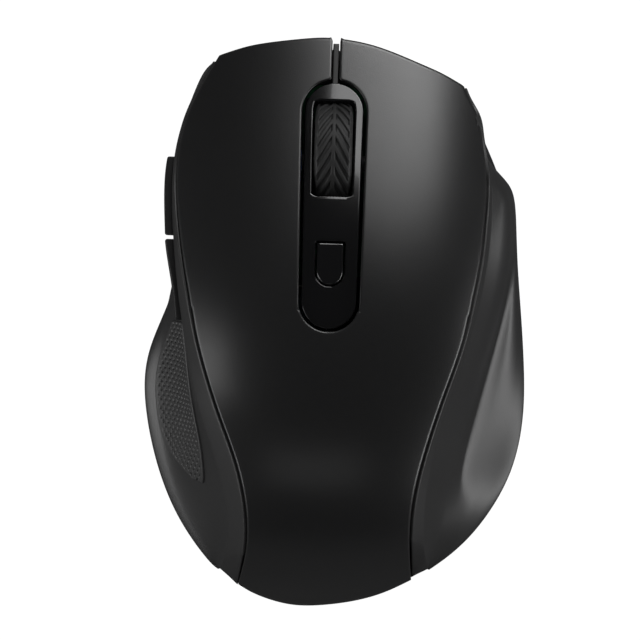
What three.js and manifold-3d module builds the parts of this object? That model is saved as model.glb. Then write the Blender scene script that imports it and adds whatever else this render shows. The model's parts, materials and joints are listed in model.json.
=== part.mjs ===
// A right-handed ergonomic wireless mouse as an assembly of separate pieces.
// Millimetres, +Z up, +Y towards the front (the wheel end), +X to the user's right.
// The origin is on the desk, under the middle of the mouse.
import * as THREE from "three";
import { mergeVertices } from "three/addons/utils/BufferGeometryUtils.js";
import Module from "manifold-3d";

// ---------------------------------------------------------------- driving sizes
const WALL = 1.8; // moulded shell walls
const SEAM = 0.35; // clearance between neighbouring pieces
const DEEP = 60; // longer than the mouse is tall or wide: for cutting tools

const BASE_Z = 0.8; // underside of the bottom case, above the desk
const DOOR_TOP = 2.3; // the battery door fills the lowest layer of the case
const FLOOR_Z = 3.8; // top of the bottom case's floor
const PARTING_Z = 5.0; // where the side shells stand on the bottom case
const FRONT_WALL_Z = 9.0; // top of the bottom case's front wall, under the buttons
const LEDGE = 3.3; // the side shells step down this far to pass under the cover's edge
const AXIS_X = -1.2; // the middle line of the strip, the wheel and the slot
const HINGE_Y = 2.0; // where the button arms bend
const SLOT_HALF = 0.72; // half the slot between the two buttons
const CENTRE = [0.46, -0.07]; // middle of the outline, which becomes the origin

const STRIP = { rear: -2.0, front: 46.0, halfRear: 5.8, halfFront: 6.15, gap: 0.6, sunk: 0.9, skirt: 5 };
const WHEEL = { y: 30.1, z: 17.2, radius: 11.6, hubRadius: 9.2, halfWidth: 3.6, axleRadius: 1.5 };
const WINDOW = { half: 4.4, rear: 23.8, front: 42, corner: 1.6 };
const DPI = { half: 2.45, rear: 7.0, front: 14.9, base: 31.2 };
const BATTERY = { x: -7, z: 10.4, radius: 7.25, rear: -44.6, length: 49.5 };
const BOARD = { bottom: 5.6, top: 7.2, half: 17, rear: 8.6, front: 45 };
const DOOR = { half: 17.5, front: 6 };
const RECEIVER = { x: 9.3, plugRear: -34.4, headRear: -22.2, headFront: -15.4 };
const SCREWS = {
  front_left: [-20.4, 38],
  front_right: [20, 38],
  rear_left: [-23, -6],
  rear_right: [24, -6],
};

// The cover's left and right edges, as [y, x] from front to rear.
const COVER_LEFT = [[49.4, -23.8], [44.7, -26.4], [38.7, -29.1], [31.8, -30.6], [23, -30.7], [16.9, -30], [9.5, -28.8],
  [2.7, -27.4], [-4.8, -25.7], [-11.1, -23.8], [-19.2, -20.9], [-25.6, -18.4], [-32, -16.5], [-38.3, -15.5],
  [-45, -15.7], [-50.1, -16.8]];
const COVER_RIGHT = [[45.6, 23.3], [43.5, 24.2], [40.7, 25.8], [36, 27], [31.2, 27.8], [24.4, 28.2], [18.7, 27.9],
  [12.5, 27.4], [5, 26.1], [-3.8, 24.2], [-13.4, 21.1], [-22.6, 18.3], [-30.5, 16.4], [-36.2, 15.6], [-42.3, 15.5],
  [-48.4, 16]];
// The cover's front and rear edges, as [x, y] from left to right.
const COVER_FRONT = [[-23.3, 50.1], [-19.4, 51.5], [-14.4, 52.7], [-6.3, 53.8], [-1.2, 53.9], [6.2, 52.7],
  [14.6, 49.7], [19.2, 47.8], [23.3, 45.6]];
const COVER_REAR = [[-16.8, -50.3], [-13.5, -52], [-8.2, -53.8], [-2.5, -54.1], [4.4, -53.2], [10.6, -51.4],
  [16, -48.7]];
// Height of the cover along its middle, as [y, z].
const SPINE = [[-56, 3], [-54, 7.5], [-50, 15.6], [-44, 24], [-34, 32.6], [-22, 37.6], [-10, 39], [4, 37.2],
  [18, 32.6], [34, 25.4], [46, 19.4], [54, 15.2], [58, 13]];

// Guide lines of the side shells, front to rear, as [x, y, z]. Left: the rim beside the cover, the hollow for the
// thumb, the foot of that hollow, the widest line and the lower edge.
const LEFT_GUIDES = {
  rim: [[-26.3, 46.8, 12.8], [-29.9, 38, 15.6], [-31.6, 28, 19.4], [-31.4, 17, 24], [-30.2, 6, 28], [-28.1, -6.5, 30.6],
    [-25.3, -17.5, 31], [-21.3, -28.5, 28.4], [-19.1, -38.5, 22.6], [-19.6, -45, 14.5], [-20.2, -47.6, 6.6]],
  hollow: [[-25.7, 46.5, 11.6], [-28.5, 37.8, 13.4], [-29.4, 28, 15.6], [-28.6, 17, 18.6], [-27.7, 6, 20.2],
    [-27.5, -6, 21.2], [-27.3, -17, 21], [-25, -28, 20], [-22.1, -37.8, 16.4], [-20.5, -44.6, 11.4],
    [-20.2, -47.5, 6.3]],
  foot: [[-25.4, 46.2, 9.6], [-28.2, 37.6, 10.4], [-29.4, 28, 11.4], [-29.4, 17, 12.2], [-30, 6, 12.4], [-31.6, -5, 12.4],
    [-32, -16, 12.2], [-30, -27, 12.2], [-26.6, -36.8, 11.2], [-22.4, -44, 9.2], [-20.3, -47.5, 6]],
  widest: [[-25.4, 46, 7.6], [-28.3, 37.6, 7.6], [-30.2, 28, 7.8], [-30.9, 17, 8], [-31.8, 6, 8.4], [-35.1, -6, 9],
    [-35.7, -17, 9], [-32.9, -28.6, 8.8], [-28.4, -38.4, 8.2], [-23, -45.2, 7.2], [-20.3, -47.4, 5.6]],
  lower: [[-25, 45.8, PARTING_Z], [-27.9, 37.4, PARTING_Z], [-29.7, 28, PARTING_Z], [-30.3, 17, PARTING_Z],
    [-31.2, 6, PARTING_Z], [-33.8, -6, PARTING_Z], [-34.4, -17, PARTING_Z], [-31.8, -28.2, PARTING_Z],
    [-27.4, -38, PARTING_Z], [-22.6, -44.9, PARTING_Z], [-20.4, -47.4, PARTING_Z]],
};
// Right: the rim, the swell of the wall, its foot, the ledge for the little finger, the widest line and the lower edge.
const RIGHT_GUIDES = {
  rim: [[24.4, 43.7, 11.8], [27, 37.5, 14.2], [28.6, 30.4, 17], [29.3, 20.5, 20.6], [28.6, 12, 23.9], [27, 2.5, 27.4],
    [24.2, -8, 30.4], [21.3, -18, 31], [19, -28, 28.8], [18.1, -37, 23.8], [18.4, -43.5, 16.6], [19.2, -46.9, 6.6]],
  swell: [[24.3, 43.4, 10.8], [27, 37.3, 12.6], [29.6, 29.6, 15.4], [32.4, 21.2, 17.6], [32.5, 12.5, 19.6],
    [30.6, 2.5, 21], [27.6, -8, 22.6], [24.6, -18, 22.4], [22.2, -28, 20.4], [20.8, -37, 16.8], [20, -43.3, 12.2],
    [19.2, -46.8, 6.3]],
  foot: [[24.2, 43.1, 9.6], [27.1, 37, 10.2], [30.6, 29.4, 11.6], [33.6, 21, 13.2], [33.7, 13, 14], [32.4, 2.5, 14.2],
    [29.9, -8, 14.2], [27.3, -18, 13.8], [25.2, -28, 12.8], [24.4, -36.8, 11], [22.4, -43, 8.8], [19.3, -46.8, 6.1]],
  ledge: [[24.2, 43, 8.6], [27.2, 36.9, 9], [30.9, 29.3, 9.6], [33.9, 20.9, 10.6], [34.4, 13, 11.6], [34.6, 2.5, 12.6],
    [34, -8, 12.8], [32.6, -18, 12.4], [30.4, -28, 11.6], [27, -37.2, 10.2], [23.4, -43.4, 8.2], [19.3, -46.7, 5.8]],
  widest: [[24.2, 42.9, 7.4], [27.3, 36.8, 7.4], [31, 29.2, 7.4], [34.1, 20.8, 7.4], [34.6, 13, 7.4], [35.6, 2.5, 7.4],
    [36.5, -8, 7.4], [36.6, -18, 7.4], [34.2, -28.6, 7.4], [28.9, -38, 7.2], [24, -43.8, 6.8], [19.4, -46.7, 5.5]],
  lower: [[24, 42.6, PARTING_Z], [27, 36.5, PARTING_Z], [30.4, 29, PARTING_Z], [33.3, 20.6, PARTING_Z],
    [33.8, 13, PARTING_Z], [34.6, 2.5, PARTING_Z], [35.4, -8, PARTING_Z], [35.4, -18, PARTING_Z],
    [33.1, -28.4, PARTING_Z], [28.2, -37.6, PARTING_Z], [23.6, -43.5, PARTING_Z], [19.4, -46.6, PARTING_Z]],
};
// The bottom case's front and rear edges between the side shells, as [x, y] from left to right.
const CASE_FRONT = [[-25, 45.8], [-20.5, 48.8], [-13, 51], [-4, 51.9], [5, 51.2], [12, 49.2], [18, 46.4],
  [24, 42.6]];
const CASE_REAR = [[-20.4, -47.4], [-16, -50], [-9, -52.4], [-2, -53.2], [5, -52.4], [12.5, -50.2],
  [19.4, -46.6]];

// Side view outlines on the thumb side, as [y, z].
const FORWARD_OUTLINE = [[30.4, 12.4], [30.4, 17.4], [15.5, 23.4], [15.5, 17.2]];
const BACK_OUTLINE = [[14.7, 17.4], [14.7, 23.8], [0.2, 28.6], [-0.6, 22.0]];
const GRIP_TOP = [[-1.4, 28.6], [-10, 29.4], [-18, 28.9], [-24, 27.2], [-29.4, 24.4], [-31.6, 22.2]];
const GRIP_BOTTOM = [[-31.6, 22.2], [-31.2, 19.8], [-27.4, 15.8], [-23.4, 13.9], [-17, 13.4], [-9, 13.4],
  [-1.4, 14.4]];

// ---------------------------------------------------------------- solids and how they join
const wasm = await Module();
wasm.setup();

/** A closed three.js geometry as a manifold-3d solid. */
function solid(geometry) {
  const bare = new THREE.BufferGeometry().setAttribute("position", geometry.getAttribute("position"));
  if (geometry.index) bare.setIndex(geometry.index);
  const merged = mergeVertices(bare, 1e-4);
  return new wasm.Manifold(
    new wasm.Mesh({
      numProp: 3,
      vertProperties: new Float32Array(merged.attributes.position.array),
      triVerts: new Uint32Array(merged.index.array),
    }),
  );
}

/** A manifold-3d solid as a three.js geometry. */
function geometryOf(shape) {
  const mesh = shape.getMesh();
  const geometry = new THREE.BufferGeometry();
  geometry.setAttribute("position", new THREE.BufferAttribute(new Float32Array(mesh.vertProperties), 3));
  geometry.setIndex(new THREE.BufferAttribute(new Uint32Array(mesh.triVerts), 1));
  geometry.translate(-CENTRE[0], -CENTRE[1], 0);
  geometry.computeVertexNormals();
  return geometry;
}

const join = (first, ...others) => others.reduce((sum, other) => sum.add(other), first);
const cut = (from, ...tools) => tools.reduce((left, tool) => left.subtract(tool), from);

/** A box between two corners. */
function box([x0, y0, z0], [x1, y1, z1]) {
  const geometry = new THREE.BoxGeometry(x1 - x0, y1 - y0, z1 - z0);
  return solid(geometry.translate((x0 + x1) / 2, (y0 + y1) / 2, (z0 + z1) / 2));
}

/** A round bar along "x", "y" or "z", from one end of its axis to the other. */
function bar(axis, [x, y, z], length, radius, sides = 20) {
  const geometry = new THREE.CylinderGeometry(radius, radius, length, sides);
  if (axis === "x") geometry.rotateZ(-Math.PI / 2);
  if (axis === "z") geometry.rotateX(Math.PI / 2);
  const half = { x: [length / 2, 0, 0], y: [0, length / 2, 0], z: [0, 0, length / 2] }[axis];
  return solid(geometry.translate(x + half[0], y + half[1], z + half[2]));
}

/** An upright prism over a closed outline of [x, y] points. */
function prism(outline, low, high) {
  const shape = new THREE.Shape(outline.map(([x, y]) => new THREE.Vector2(x, y)));
  const geometry = new THREE.ExtrudeGeometry(shape, { depth: high - low, bevelEnabled: false });
  return solid(geometry.translate(0, 0, low));
}

/** A prism along X over a closed outline of [y, z] points. */
function sidePrism(outline, low, high) {
  const shape = new THREE.Shape(outline.map(([y, z]) => new THREE.Vector2(y, z)));
  const geometry = new THREE.ExtrudeGeometry(shape, { depth: high - low, bevelEnabled: false });
  geometry.applyMatrix4(new THREE.Matrix4().set(0, 0, 1, low, 1, 0, 0, 0, 0, 1, 0, 0, 0, 0, 0, 1));
  return solid(geometry);
}

/** A rectangle with round corners, as [x, y] points. */
function roundRectangle(x0, x1, y0, y1, radius, steps = 4) {
  const corners = [[x1 - radius, y1 - radius, 0], [x0 + radius, y1 - radius, 1], [x0 + radius, y0 + radius, 2],
    [x1 - radius, y0 + radius, 3]];
  return corners.flatMap(([x, y, quarter]) =>
    Array.from({ length: steps + 1 }, (_, i) => {
      const angle = ((quarter + i / steps) * Math.PI) / 2;
      return [x + radius * Math.cos(angle), y + radius * Math.sin(angle)];
    }));
}

// ---------------------------------------------------------------- curves
/** A natural cubic spline through [t, value] pairs with rising or falling t. */
function spline(pairs) {
  const points = [...pairs].sort((a, b) => a[0] - b[0]);
  const n = points.length;
  const bend = new Array(n).fill(0);
  const carried = new Array(n).fill(0);
  for (let i = 1; i < n - 1; i++) {
    const before = points[i][0] - points[i - 1][0];
    const after = points[i + 1][0] - points[i][0];
    const share = before / (before + after);
    const pivot = share * bend[i - 1] + 2;
    const turn = (points[i + 1][1] - points[i][1]) / after - (points[i][1] - points[i - 1][1]) / before;
    bend[i] = (share - 1) / pivot;
    carried[i] = ((6 * turn) / (before + after) - share * carried[i - 1]) / pivot;
  }
  const second = new Array(n).fill(0);
  for (let i = n - 2; i > 0; i--) second[i] = bend[i] * second[i + 1] + carried[i];
  return (t) => {
    let i = 0;
    while (i < n - 2 && t > points[i + 1][0]) i++;
    const [t0, v0] = points[i];
    const [t1, v1] = points[i + 1];
    const step = t1 - t0;
    const a = (t1 - t) / step;
    const b = (t - t0) / step;
    return a * v0 + b * v1 + (((a ** 3 - a) * second[i] + (b ** 3 - b) * second[i + 1]) * step ** 2) / 6;
  };
}

/** A spline through points in space, read by a share from 0 to 1 of the way along them. */
function threadThrough(points) {
  const along = [0, 1, 2].map((k) => spline(points.map((p, i) => [i, p[k] ?? 0])));
  return (share) => along.map((coordinate) => coordinate(share * (points.length - 1)));
}

const spread = (count, from, to) =>
  Array.from({ length: count + 1 }, (_, i) => from + ((to - from) * i) / count);
const smooth = (t) => {
  const held = Math.min(1, Math.max(0, t));
  return held * held * (3 - 2 * held);
};

/** Distance from a point to a closed outline. */
function distanceTo(loop, [x, y]) {
  return Math.min(
    ...loop.map(([ax, ay], i) => {
      const [bx, by] = loop[(i + 1) % loop.length];
      const share = ((x - ax) * (bx - ax) + (y - ay) * (by - ay)) / ((bx - ax) ** 2 + (by - ay) ** 2);
      const held = Math.min(1, Math.max(0, share));
      return Math.hypot(ax + (bx - ax) * held - x, ay + (by - ay) * held - y);
    }),
  );
}

/** Every point of a closed anticlockwise outline moved inwards by a distance, or outwards by a negative one. */
function shrink(loop, distance) {
  const n = loop.length;
  return loop.map(([x, y], i) => {
    const [px, py] = loop[(i + n - 1) % n];
    const [nx, ny] = loop[(i + 1) % n];
    const long = Math.hypot(nx - px, ny - py);
    return [x - (distance * (ny - py)) / long, y + (distance * (nx - px)) / long];
  });
}

/** The same, without the points that would fold over at a tight corner. */
function inset(loop, distance) {
  const moved = shrink(loop, distance);
  return moved.filter((point) => distanceTo(loop, point) > 0.93 * Math.abs(distance));
}

// ---------------------------------------------------------------- the cover's surface
const spineHeight = spline(SPINE);
const leftEdge = spline(COVER_LEFT);
const rightEdge = spline(COVER_RIGHT);

/** Height of the cover's outside: the spine, less a crown that is rounder at the rear, tilted down to the right. */
function coverHeight(x, y) {
  const crown = 0.0065 + 0.003 * smooth((-5 - y) / 35);
  const across = x - AXIS_X;
  return spineHeight(y) - crown * across ** 2 - 3e-6 * across ** 4 - 0.04 * across;
}

/** Everything under the cover's outside, moved up or down by a height. */
function under(lift, columns = 15, rows = 24) {
  const xs = spread(columns, -34, 34);
  const ys = spread(rows, -57, 57);
  const floor = -DEEP;
  const points = [];
  for (const y of ys) for (const x of xs) points.push([x, y, coverHeight(x, y) + lift]);
  for (const y of ys) for (const x of xs) points.push([x, y, floor]);
  return solid(closedSlab(points, xs.length, ys.length));
}

/** A closed geometry from two grids of points, one above the other, each of rows times columns. */
function closedSlab(points, columns, rows) {
  const half = columns * rows;
  const index = [];
  const at = (i, j) => j * columns + i;
  const quad = (a, b, c, d) => index.push(a, b, c, a, c, d);
  for (let j = 0; j < rows - 1; j++)
    for (let i = 0; i < columns - 1; i++) {
      const [a, b, c, d] = [at(i, j), at(i + 1, j), at(i + 1, j + 1), at(i, j + 1)];
      quad(a, b, c, d);
      quad(half + a, half + d, half + c, half + b);
    }
  for (let i = 0; i < columns - 1; i++) {
    quad(at(i, 0), half + at(i, 0), half + at(i + 1, 0), at(i + 1, 0));
    quad(at(i + 1, rows - 1), half + at(i + 1, rows - 1), half + at(i, rows - 1), at(i, rows - 1));
  }
  for (let j = 0; j < rows - 1; j++) {
    quad(at(0, j + 1), half + at(0, j + 1), half + at(0, j), at(0, j));
    quad(at(columns - 1, j), half + at(columns - 1, j), half + at(columns - 1, j + 1), at(columns - 1, j + 1));
  }
  const geometry = new THREE.BufferGeometry();
  geometry.setAttribute("position", new THREE.BufferAttribute(new Float32Array(points.flat()), 3));
  geometry.setIndex(index);
  return geometry;
}

/** The cover's outline seen from above, anticlockwise. */
function coverOutline() {
  const front = threadThrough(COVER_FRONT);
  const rear = threadThrough(COVER_REAR);
  return [
    ...spread(12, 1, 0).map((s) => front(s).slice(0, 2)),
    ...spread(15, 48, -49).map((y) => [leftEdge(y), y]),
    ...spread(8, 0, 1).map((s) => rear(s).slice(0, 2)),
    ...spread(15, -47.5, 44.3).map((y) => [rightEdge(y), y]),
  ];
}

/** The long opening for the centre strip, or the strip itself when it is inset. */
function stripOutline(margin) {
  const rear = STRIP.halfRear - margin;
  const front = STRIP.halfFront - margin;
  const arc = (radius, y, from) =>
    spread(8, from, from + Math.PI).map((angle) => [AXIS_X + radius * Math.cos(angle), y + radius * Math.sin(angle)]);
  return [...arc(front, STRIP.front - STRIP.halfFront, 0), ...arc(rear, STRIP.rear + STRIP.halfRear, Math.PI)];
}

/** The small button's outline: straight at the front, round at the rear, grown by a clearance. */
function dpiOutline(grow) {
  const half = DPI.half + grow;
  const middle = DPI.rear + DPI.half;
  const round = spread(8, Math.PI, 2 * Math.PI).map((angle) =>
    [AXIS_X + half * Math.cos(angle), middle + half * Math.sin(angle)]);
  return [...round, [AXIS_X + half, DPI.front + grow], [AXIS_X - half, DPI.front + grow]];
}

/** A closed solid over one outline whose size changes with height: levels are [z, inset]. */
function tapered(loop, levels) {
  const n = loop.length;
  const rings = levels.map(([z, margin]) => shrink(loop, margin).map(([x, y]) => [x, y, z]));
  const caps = THREE.ShapeUtils.triangulateShape(loop.map(([x, y]) => new THREE.Vector2(x, y)), []);
  const index = [];
  const last = n * (levels.length - 1);
  for (const [a, b, c] of caps) index.push(a, c, b, last + a, last + b, last + c);
  for (let k = 0; k < levels.length - 1; k++)
    for (let i = 0; i < n; i++) {
      const [a, b] = [k * n + i, k * n + ((i + 1) % n)];
      index.push(a, b, b + n, a, b + n, a + n);
    }
  const geometry = new THREE.BufferGeometry();
  geometry.setAttribute("position", new THREE.BufferAttribute(new Float32Array(rings.flat(2)), 3));
  geometry.setIndex(index);
  return solid(geometry);
}

// ---------------------------------------------------------------- the side shells' surface
/** One side's lofted surface: a grid of points from the cover's edge down to the lower edge. */
function sideGrid(guides, edge, side, lift, stations) {
  const lines = Object.values(guides).map(threadThrough);
  const along = (share) => {
    const points = lines.map((line) => line(share));
    const y = points[0][1];
    const seam = share > 0.9 ? smooth((share - 0.9) / 0.1) : 0;
    const x = edge(y - 2.4 * seam) + side * 0.85;
    const top = coverHeight(x, y) - 0.5;
    points.unshift([x, y - 2.6 * seam, top + (PARTING_Z + 1.6 - top) * seam]);
    return roundedSection(points);
  };
  const rows = spread(stations, 0, 1).map(along);
  return lifted(rows, lift, side);
}

/** A section through control points: straight between them, with its corners rounded off. */
function roundedSection(points) {
  const mix = (a, b, t) => a.map((v, k) => v + (b[k] - v) * t);
  const out = [points[0]];
  for (let i = 1; i < points.length - 1; i++) {
    out.push(mix(points[i], points[i - 1], 0.3));
    const middle = mix(points[i - 1], points[i + 1], 0.5);
    out.push(mix(points[i], middle, 0.15));
    out.push(mix(points[i], points[i + 1], 0.3));
  }
  out.push(points.at(-1));
  return out;
}

/** The grid moved outwards along its own normals. */
function lifted(rows, lift, side) {
  if (!lift) return rows;
  const n = rows.length;
  const m = rows[0].length;
  const vector = (a, b) => new THREE.Vector3(b[0] - a[0], b[1] - a[1], b[2] - a[2]);
  return rows.map((row, j) =>
    row.map((point, i) => {
      const down = vector(row[Math.max(0, i - 1)], row[Math.min(m - 1, i + 1)]);
      const back = vector(rows[Math.max(0, j - 1)][i], rows[Math.min(n - 1, j + 1)][i]);
      const normal = back.cross(down).multiplyScalar(side).normalize();
      return [point[0] + normal.x * lift, point[1] + normal.y * lift, point[2] + normal.z * lift];
    }));
}

/** The solid between two lifted copies of one side's surface. */
function sideSlab(guides, edge, side, outer, inner, stations = 22) {
  const top = sideGrid(guides, edge, side, outer, stations);
  const bottom = sideGrid(guides, edge, side, inner, stations);
  const order = side < 0 ? (rows) => rows : (rows) => [...rows].reverse();
  const points = [...order(top), ...order(bottom)].flat();
  return solid(closedSlab(points, top[0].length, top.length));
}

const leftSlab = (outer, inner) => sideSlab(LEFT_GUIDES, leftEdge, -1, outer, inner);
const rightSlab = (outer, inner) => sideSlab(RIGHT_GUIDES, rightEdge, 1, outer, inner);


// ---------------------------------------------------------------- the object
const mouse = new THREE.Group();
mouse.name = "wireless_mouse";

/** Puts a solid into the mouse as a named piece. */
function keep(name, colour, shape, roughness = 0.5, metalness = 0) {
  const material = new THREE.MeshStandardMaterial({ color: colour, roughness, metalness });
  const mesh = new THREE.Mesh(geometryOf(shape), material);
  mesh.name = name;
  mouse.add(mesh);
}

const common = (first, ...others) => others.reduce((left, other) => left.intersect(other), first);
const slice = (y0, y1) => box([-DEEP, y0, -DEEP], [DEEP, y1, DEEP]);
const layer = (z0, z1) => box([-DEEP, -DEEP, z0], [DEEP, DEEP, z1]);

// The cover: one moulded surface, cut into the palm piece and two buttons.
const outline = coverOutline();
const skin = cut(common(prism(outline, PARTING_Z + 0.2, DEEP), under(0)),
  common(prism(inset(outline, WALL), -DEEP, DEEP), under(-WALL)),
  common(under(-2.2), slice(-46, 46)), common(under(-5), slice(40, 60)),
  prism(stripOutline(0), -DEEP, DEEP));
const coverSpace = cut(prism(inset(outline, -SEAM), -DEEP, DEEP),
  common(under(-LEDGE), slice(-45.7, 44.8)));

keep("palm_cover", 0x1c1c1e, common(skin, slice(-DEEP, HINGE_Y - SEAM / 2)), 0.6);
for (const [name, side] of [["left_button", -1], ["right_button", 1]]) {
  const half = side < 0 ? box([-DEEP, HINGE_Y + SEAM / 2, 0], [AXIS_X - SLOT_HALF, DEEP, DEEP])
    : box([AXIS_X + SLOT_HALF, HINGE_Y + SEAM / 2, 0], [DEEP, DEEP, DEEP]);
  const post = bar("z", [AXIS_X + side * 12, 42, 15.3], 3.8, 1.6, 12);
  keep(name, 0x1c1c1e, join(common(skin, half), post), 0.6);
}

// The centre strip: a cap sunk in its opening, with the wheel window, the small button's hole and a rib in
// the slot.
const stripCap = cut(common(prism(stripOutline(STRIP.gap), -DEEP, DEEP), under(-STRIP.sunk)),
  common(prism(stripOutline(STRIP.gap + 1.3), -DEEP, DEEP), under(-STRIP.sunk - 1.6)), under(-STRIP.skirt));
const windowOutline = roundRectangle(AXIS_X - WINDOW.half, AXIS_X + WINDOW.half, WINDOW.rear, WINDOW.front,
  WINDOW.corner);
const windowHole = prism(windowOutline, -DEEP, DEEP);
const ribBox = box([AXIS_X - 0.4, STRIP.front - 1.4, FRONT_WALL_Z + 0.3], [AXIS_X + 0.4, 52.8, DEEP]);
const rib = common(ribBox, under(-1.1));
const rearLeg = common(box([1.6, -0.9, FLOOR_Z + 0.3], [3.4, 1.1, DEEP]), under(-2.2));
const frontLeg = common(box([AXIS_X - 2, 43.5, BOARD.top + 0.3], [AXIS_X + 2, 44.9, DEEP]), under(-2.2));
const dpiHole = prism(dpiOutline(0.35), 0, DEEP);
keep("centre_strip", 0x0a0a0c, cut(join(stripCap, rib, rearLeg, frontLeg), windowHole, dpiHole), 0.15);
const dpiPost = bar("z", [AXIS_X, 11, DPI.base], 2, 1.2, 12);
const dpiCap = common(prism(dpiOutline(0), DPI.base + 0.6, DEEP), under(-0.45));
keep("dpi_button", 0x161618, join(dpiCap, dpiPost), 0.4);

// Side shells, with the thumb buttons and the rubber grip let into the left one.
const leftCut = (yz, low, high) => common(leftSlab(low, high), sidePrism(yz, -DEEP, 0));
const forwardHole = sidePrism(inset(FORWARD_OUTLINE, -SEAM), -DEEP, -15);
const backHole = sidePrism(inset(BACK_OUTLINE, -SEAM), -DEEP, -15);
const gripOutline = [...GRIP_TOP, ...GRIP_BOTTOM.slice(1)];
const gripPocket = common(leftSlab(3, -1.25), sidePrism(inset(gripOutline, -SEAM), -DEEP, -10));
const caseBox = layer(PARTING_Z, DEEP);
const leftWall = common(leftSlab(0, -WALL - 0.3), caseBox);
const rightWall = common(rightSlab(0, -WALL), caseBox);
keep("left_side_shell", 0x242426, cut(leftWall, coverSpace, forwardHole, backHole, gripPocket));
keep("right_side_shell", 0x242426, cut(rightWall, coverSpace));
keep("thumb_grip", 0x2c2c2e, cut(leftCut(gripOutline, 0.3, -0.9), coverSpace), 0.9);
const sideButton = (yz, y, z) => {
  const face = cut(leftCut(yz, 1.5, -1.3), coverSpace);
  return join(face, bar("x", [-29.5, y, z], 5, 1.1, 12));
};
keep("forward_button", 0x1e1e20, sideButton(FORWARD_OUTLINE, 22.5, 17.8));
keep("back_button", 0x1e1e20, sideButton(BACK_OUTLINE, 7.5, 22.4));

// The bottom case and the battery door that fills its rear lower layer.
const lowerLine = (guides, count, from, to) =>
  spread(count, from, to).map((share) => threadThrough(guides.lower)(share).slice(0, 2));
const caseLoop = [
  ...lowerLine(LEFT_GUIDES, 26, 0, 1),
  ...CASE_REAR.slice(1, -1),
  ...lowerLine(RIGHT_GUIDES, 26, 1, 0),
  ...[...CASE_FRONT].reverse().slice(1, -1),
];
const caseTub = cut(tapered(caseLoop, [[BASE_Z, 1.3], [BASE_Z + 1.3, 0.2], [PARTING_Z - SEAM, 0]]),
  prism(inset(caseLoop, WALL), FLOOR_Z, DEEP));
const upperRing = cut(prism(caseLoop, PARTING_Z - 1, FRONT_WALL_Z), prism(inset(caseLoop, WALL), 0, DEEP));
const frontWall = common(upperRing, box([-21, 40, 0], [22, DEEP, DEEP]));
const doorHalf = DOOR.half + SEAM;
const doorSpace = box([-doorHalf, -DEEP, -1], [doorHalf, DOOR.front + SEAM, DOOR_TOP + 0.3]);
const batteryHole = box([BATTERY.x - 7.7, -45.4, 0], [BATTERY.x + 7.7, 5.4, DEEP]);
const [receiverLeft, receiverRight] = [RECEIVER.x - 7.8, RECEIVER.x + 7.8];
const [receiverRear, receiverFront] = [RECEIVER.plugRear - 0.6, RECEIVER.headFront + 0.6];
const receiverHole = box([receiverLeft, receiverRear, 0], [receiverRight, receiverFront, FLOOR_Z + 1]);
const fence = (x0, x1, y0, y1, top, thick) => cut(
  box([x0 - thick, y0 - thick, FLOOR_Z - 0.5], [x1 + thick, y1 + thick, top]),
  box([x0, y0, 0], [x1, y1, DEEP]));
const batteryBay = fence(BATTERY.x - 7.7, BATTERY.x + 7.7, -49.2, 7.3, 9, 0.8);
const receiverBay = fence(receiverLeft, receiverRight, receiverRear, receiverFront, 8, 0.8);
const bosses = Object.values(SCREWS).map(([x, y]) => bar("z", [x, y, FLOOR_Z - 0.5], 6, 2.5, 16));
const screwHoles = Object.values(SCREWS).map(([x, y]) =>
  join(bar("z", [x, y, 0], 9.5, 1.35, 12), bar("z", [x, y, 0], BASE_Z + 1.3, 2.4, 16)));
const boardPosts = [5, 24].map((y) => box([-21.9, y - 1, FLOOR_Z - 0.5], [-20.7, y + 1, 12.2]));
const sensorHole = box([AXIS_X - 3.5, 9.4, 0], [AXIS_X + 3.5, 15.6, DEEP]);
const switchSlot = box([-15.8, 18.2, 0], [-12.2, 24.8, DEEP]);
const bays = cut(join(batteryBay, receiverBay), layer(-1, FLOOR_Z - 0.5));
const bayCorner = box([-DEEP, -DEEP, 4.8], [-10, -44.4, 12]);
const batteryOpening = cut(batteryHole, layer(FLOOR_Z + 0.01, DEEP));
const caseBody = join(caseTub, frontWall, bays, ...bosses, ...boardPosts);
const caseHoles = [bayCorner, doorSpace, batteryOpening, receiverHole, sensorHole, switchSlot, ...screwHoles];
keep("bottom_case", 0x1a1a1c, cut(caseBody, ...caseHoles), 0.6);
const doorPlate = common(tapered(caseLoop, [[BASE_Z, 1.3], [BASE_Z + 1.3, 0.2], [PARTING_Z - SEAM, 0]]),
  box([-DOOR.half, -DEEP, 0], [DOOR.half, DOOR.front, DOOR_TOP]));
const gripGrooves = [-2, 0, 2].map((y) => box([-6, y - 0.4, 0], [6, y + 0.4, BASE_Z + 0.4]));
keep("battery_door", 0x1a1a1c, cut(doorPlate, ...gripGrooves), 0.6);

// Glide feet and case screws.
const foot = (x0, x1, y0, y1) => prism(roundRectangle(x0, x1, y0, y1, 2.4), 0, BASE_Z - 0.3);
keep("front_foot", 0x3a3a3c, foot(-15, 15, 40.4, 46), 0.3);
keep("left_rear_foot", 0x3a3a3c, foot(-27.4, -19.4, -28, -13), 0.3);
keep("right_rear_foot", 0x3a3a3c, foot(20, 29, -30, -13), 0.3);
for (const [place, [x, y]] of Object.entries(SCREWS)) {
  const slots = [[1.3, 0.25], [0.25, 1.3]].map(([a, b]) => box([x - a, y - b, 0], [x + a, y + b, 1.4]));
  const head = cut(bar("z", [x, y, 1.0], 1.0, 1.95, 16), ...slots);
  keep(`${place}_screw`, 0x9a9a9e, join(head, bar("z", [x, y, 1.9], 6.6, 0.95, 10)), 0.3, 1);
}

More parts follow.
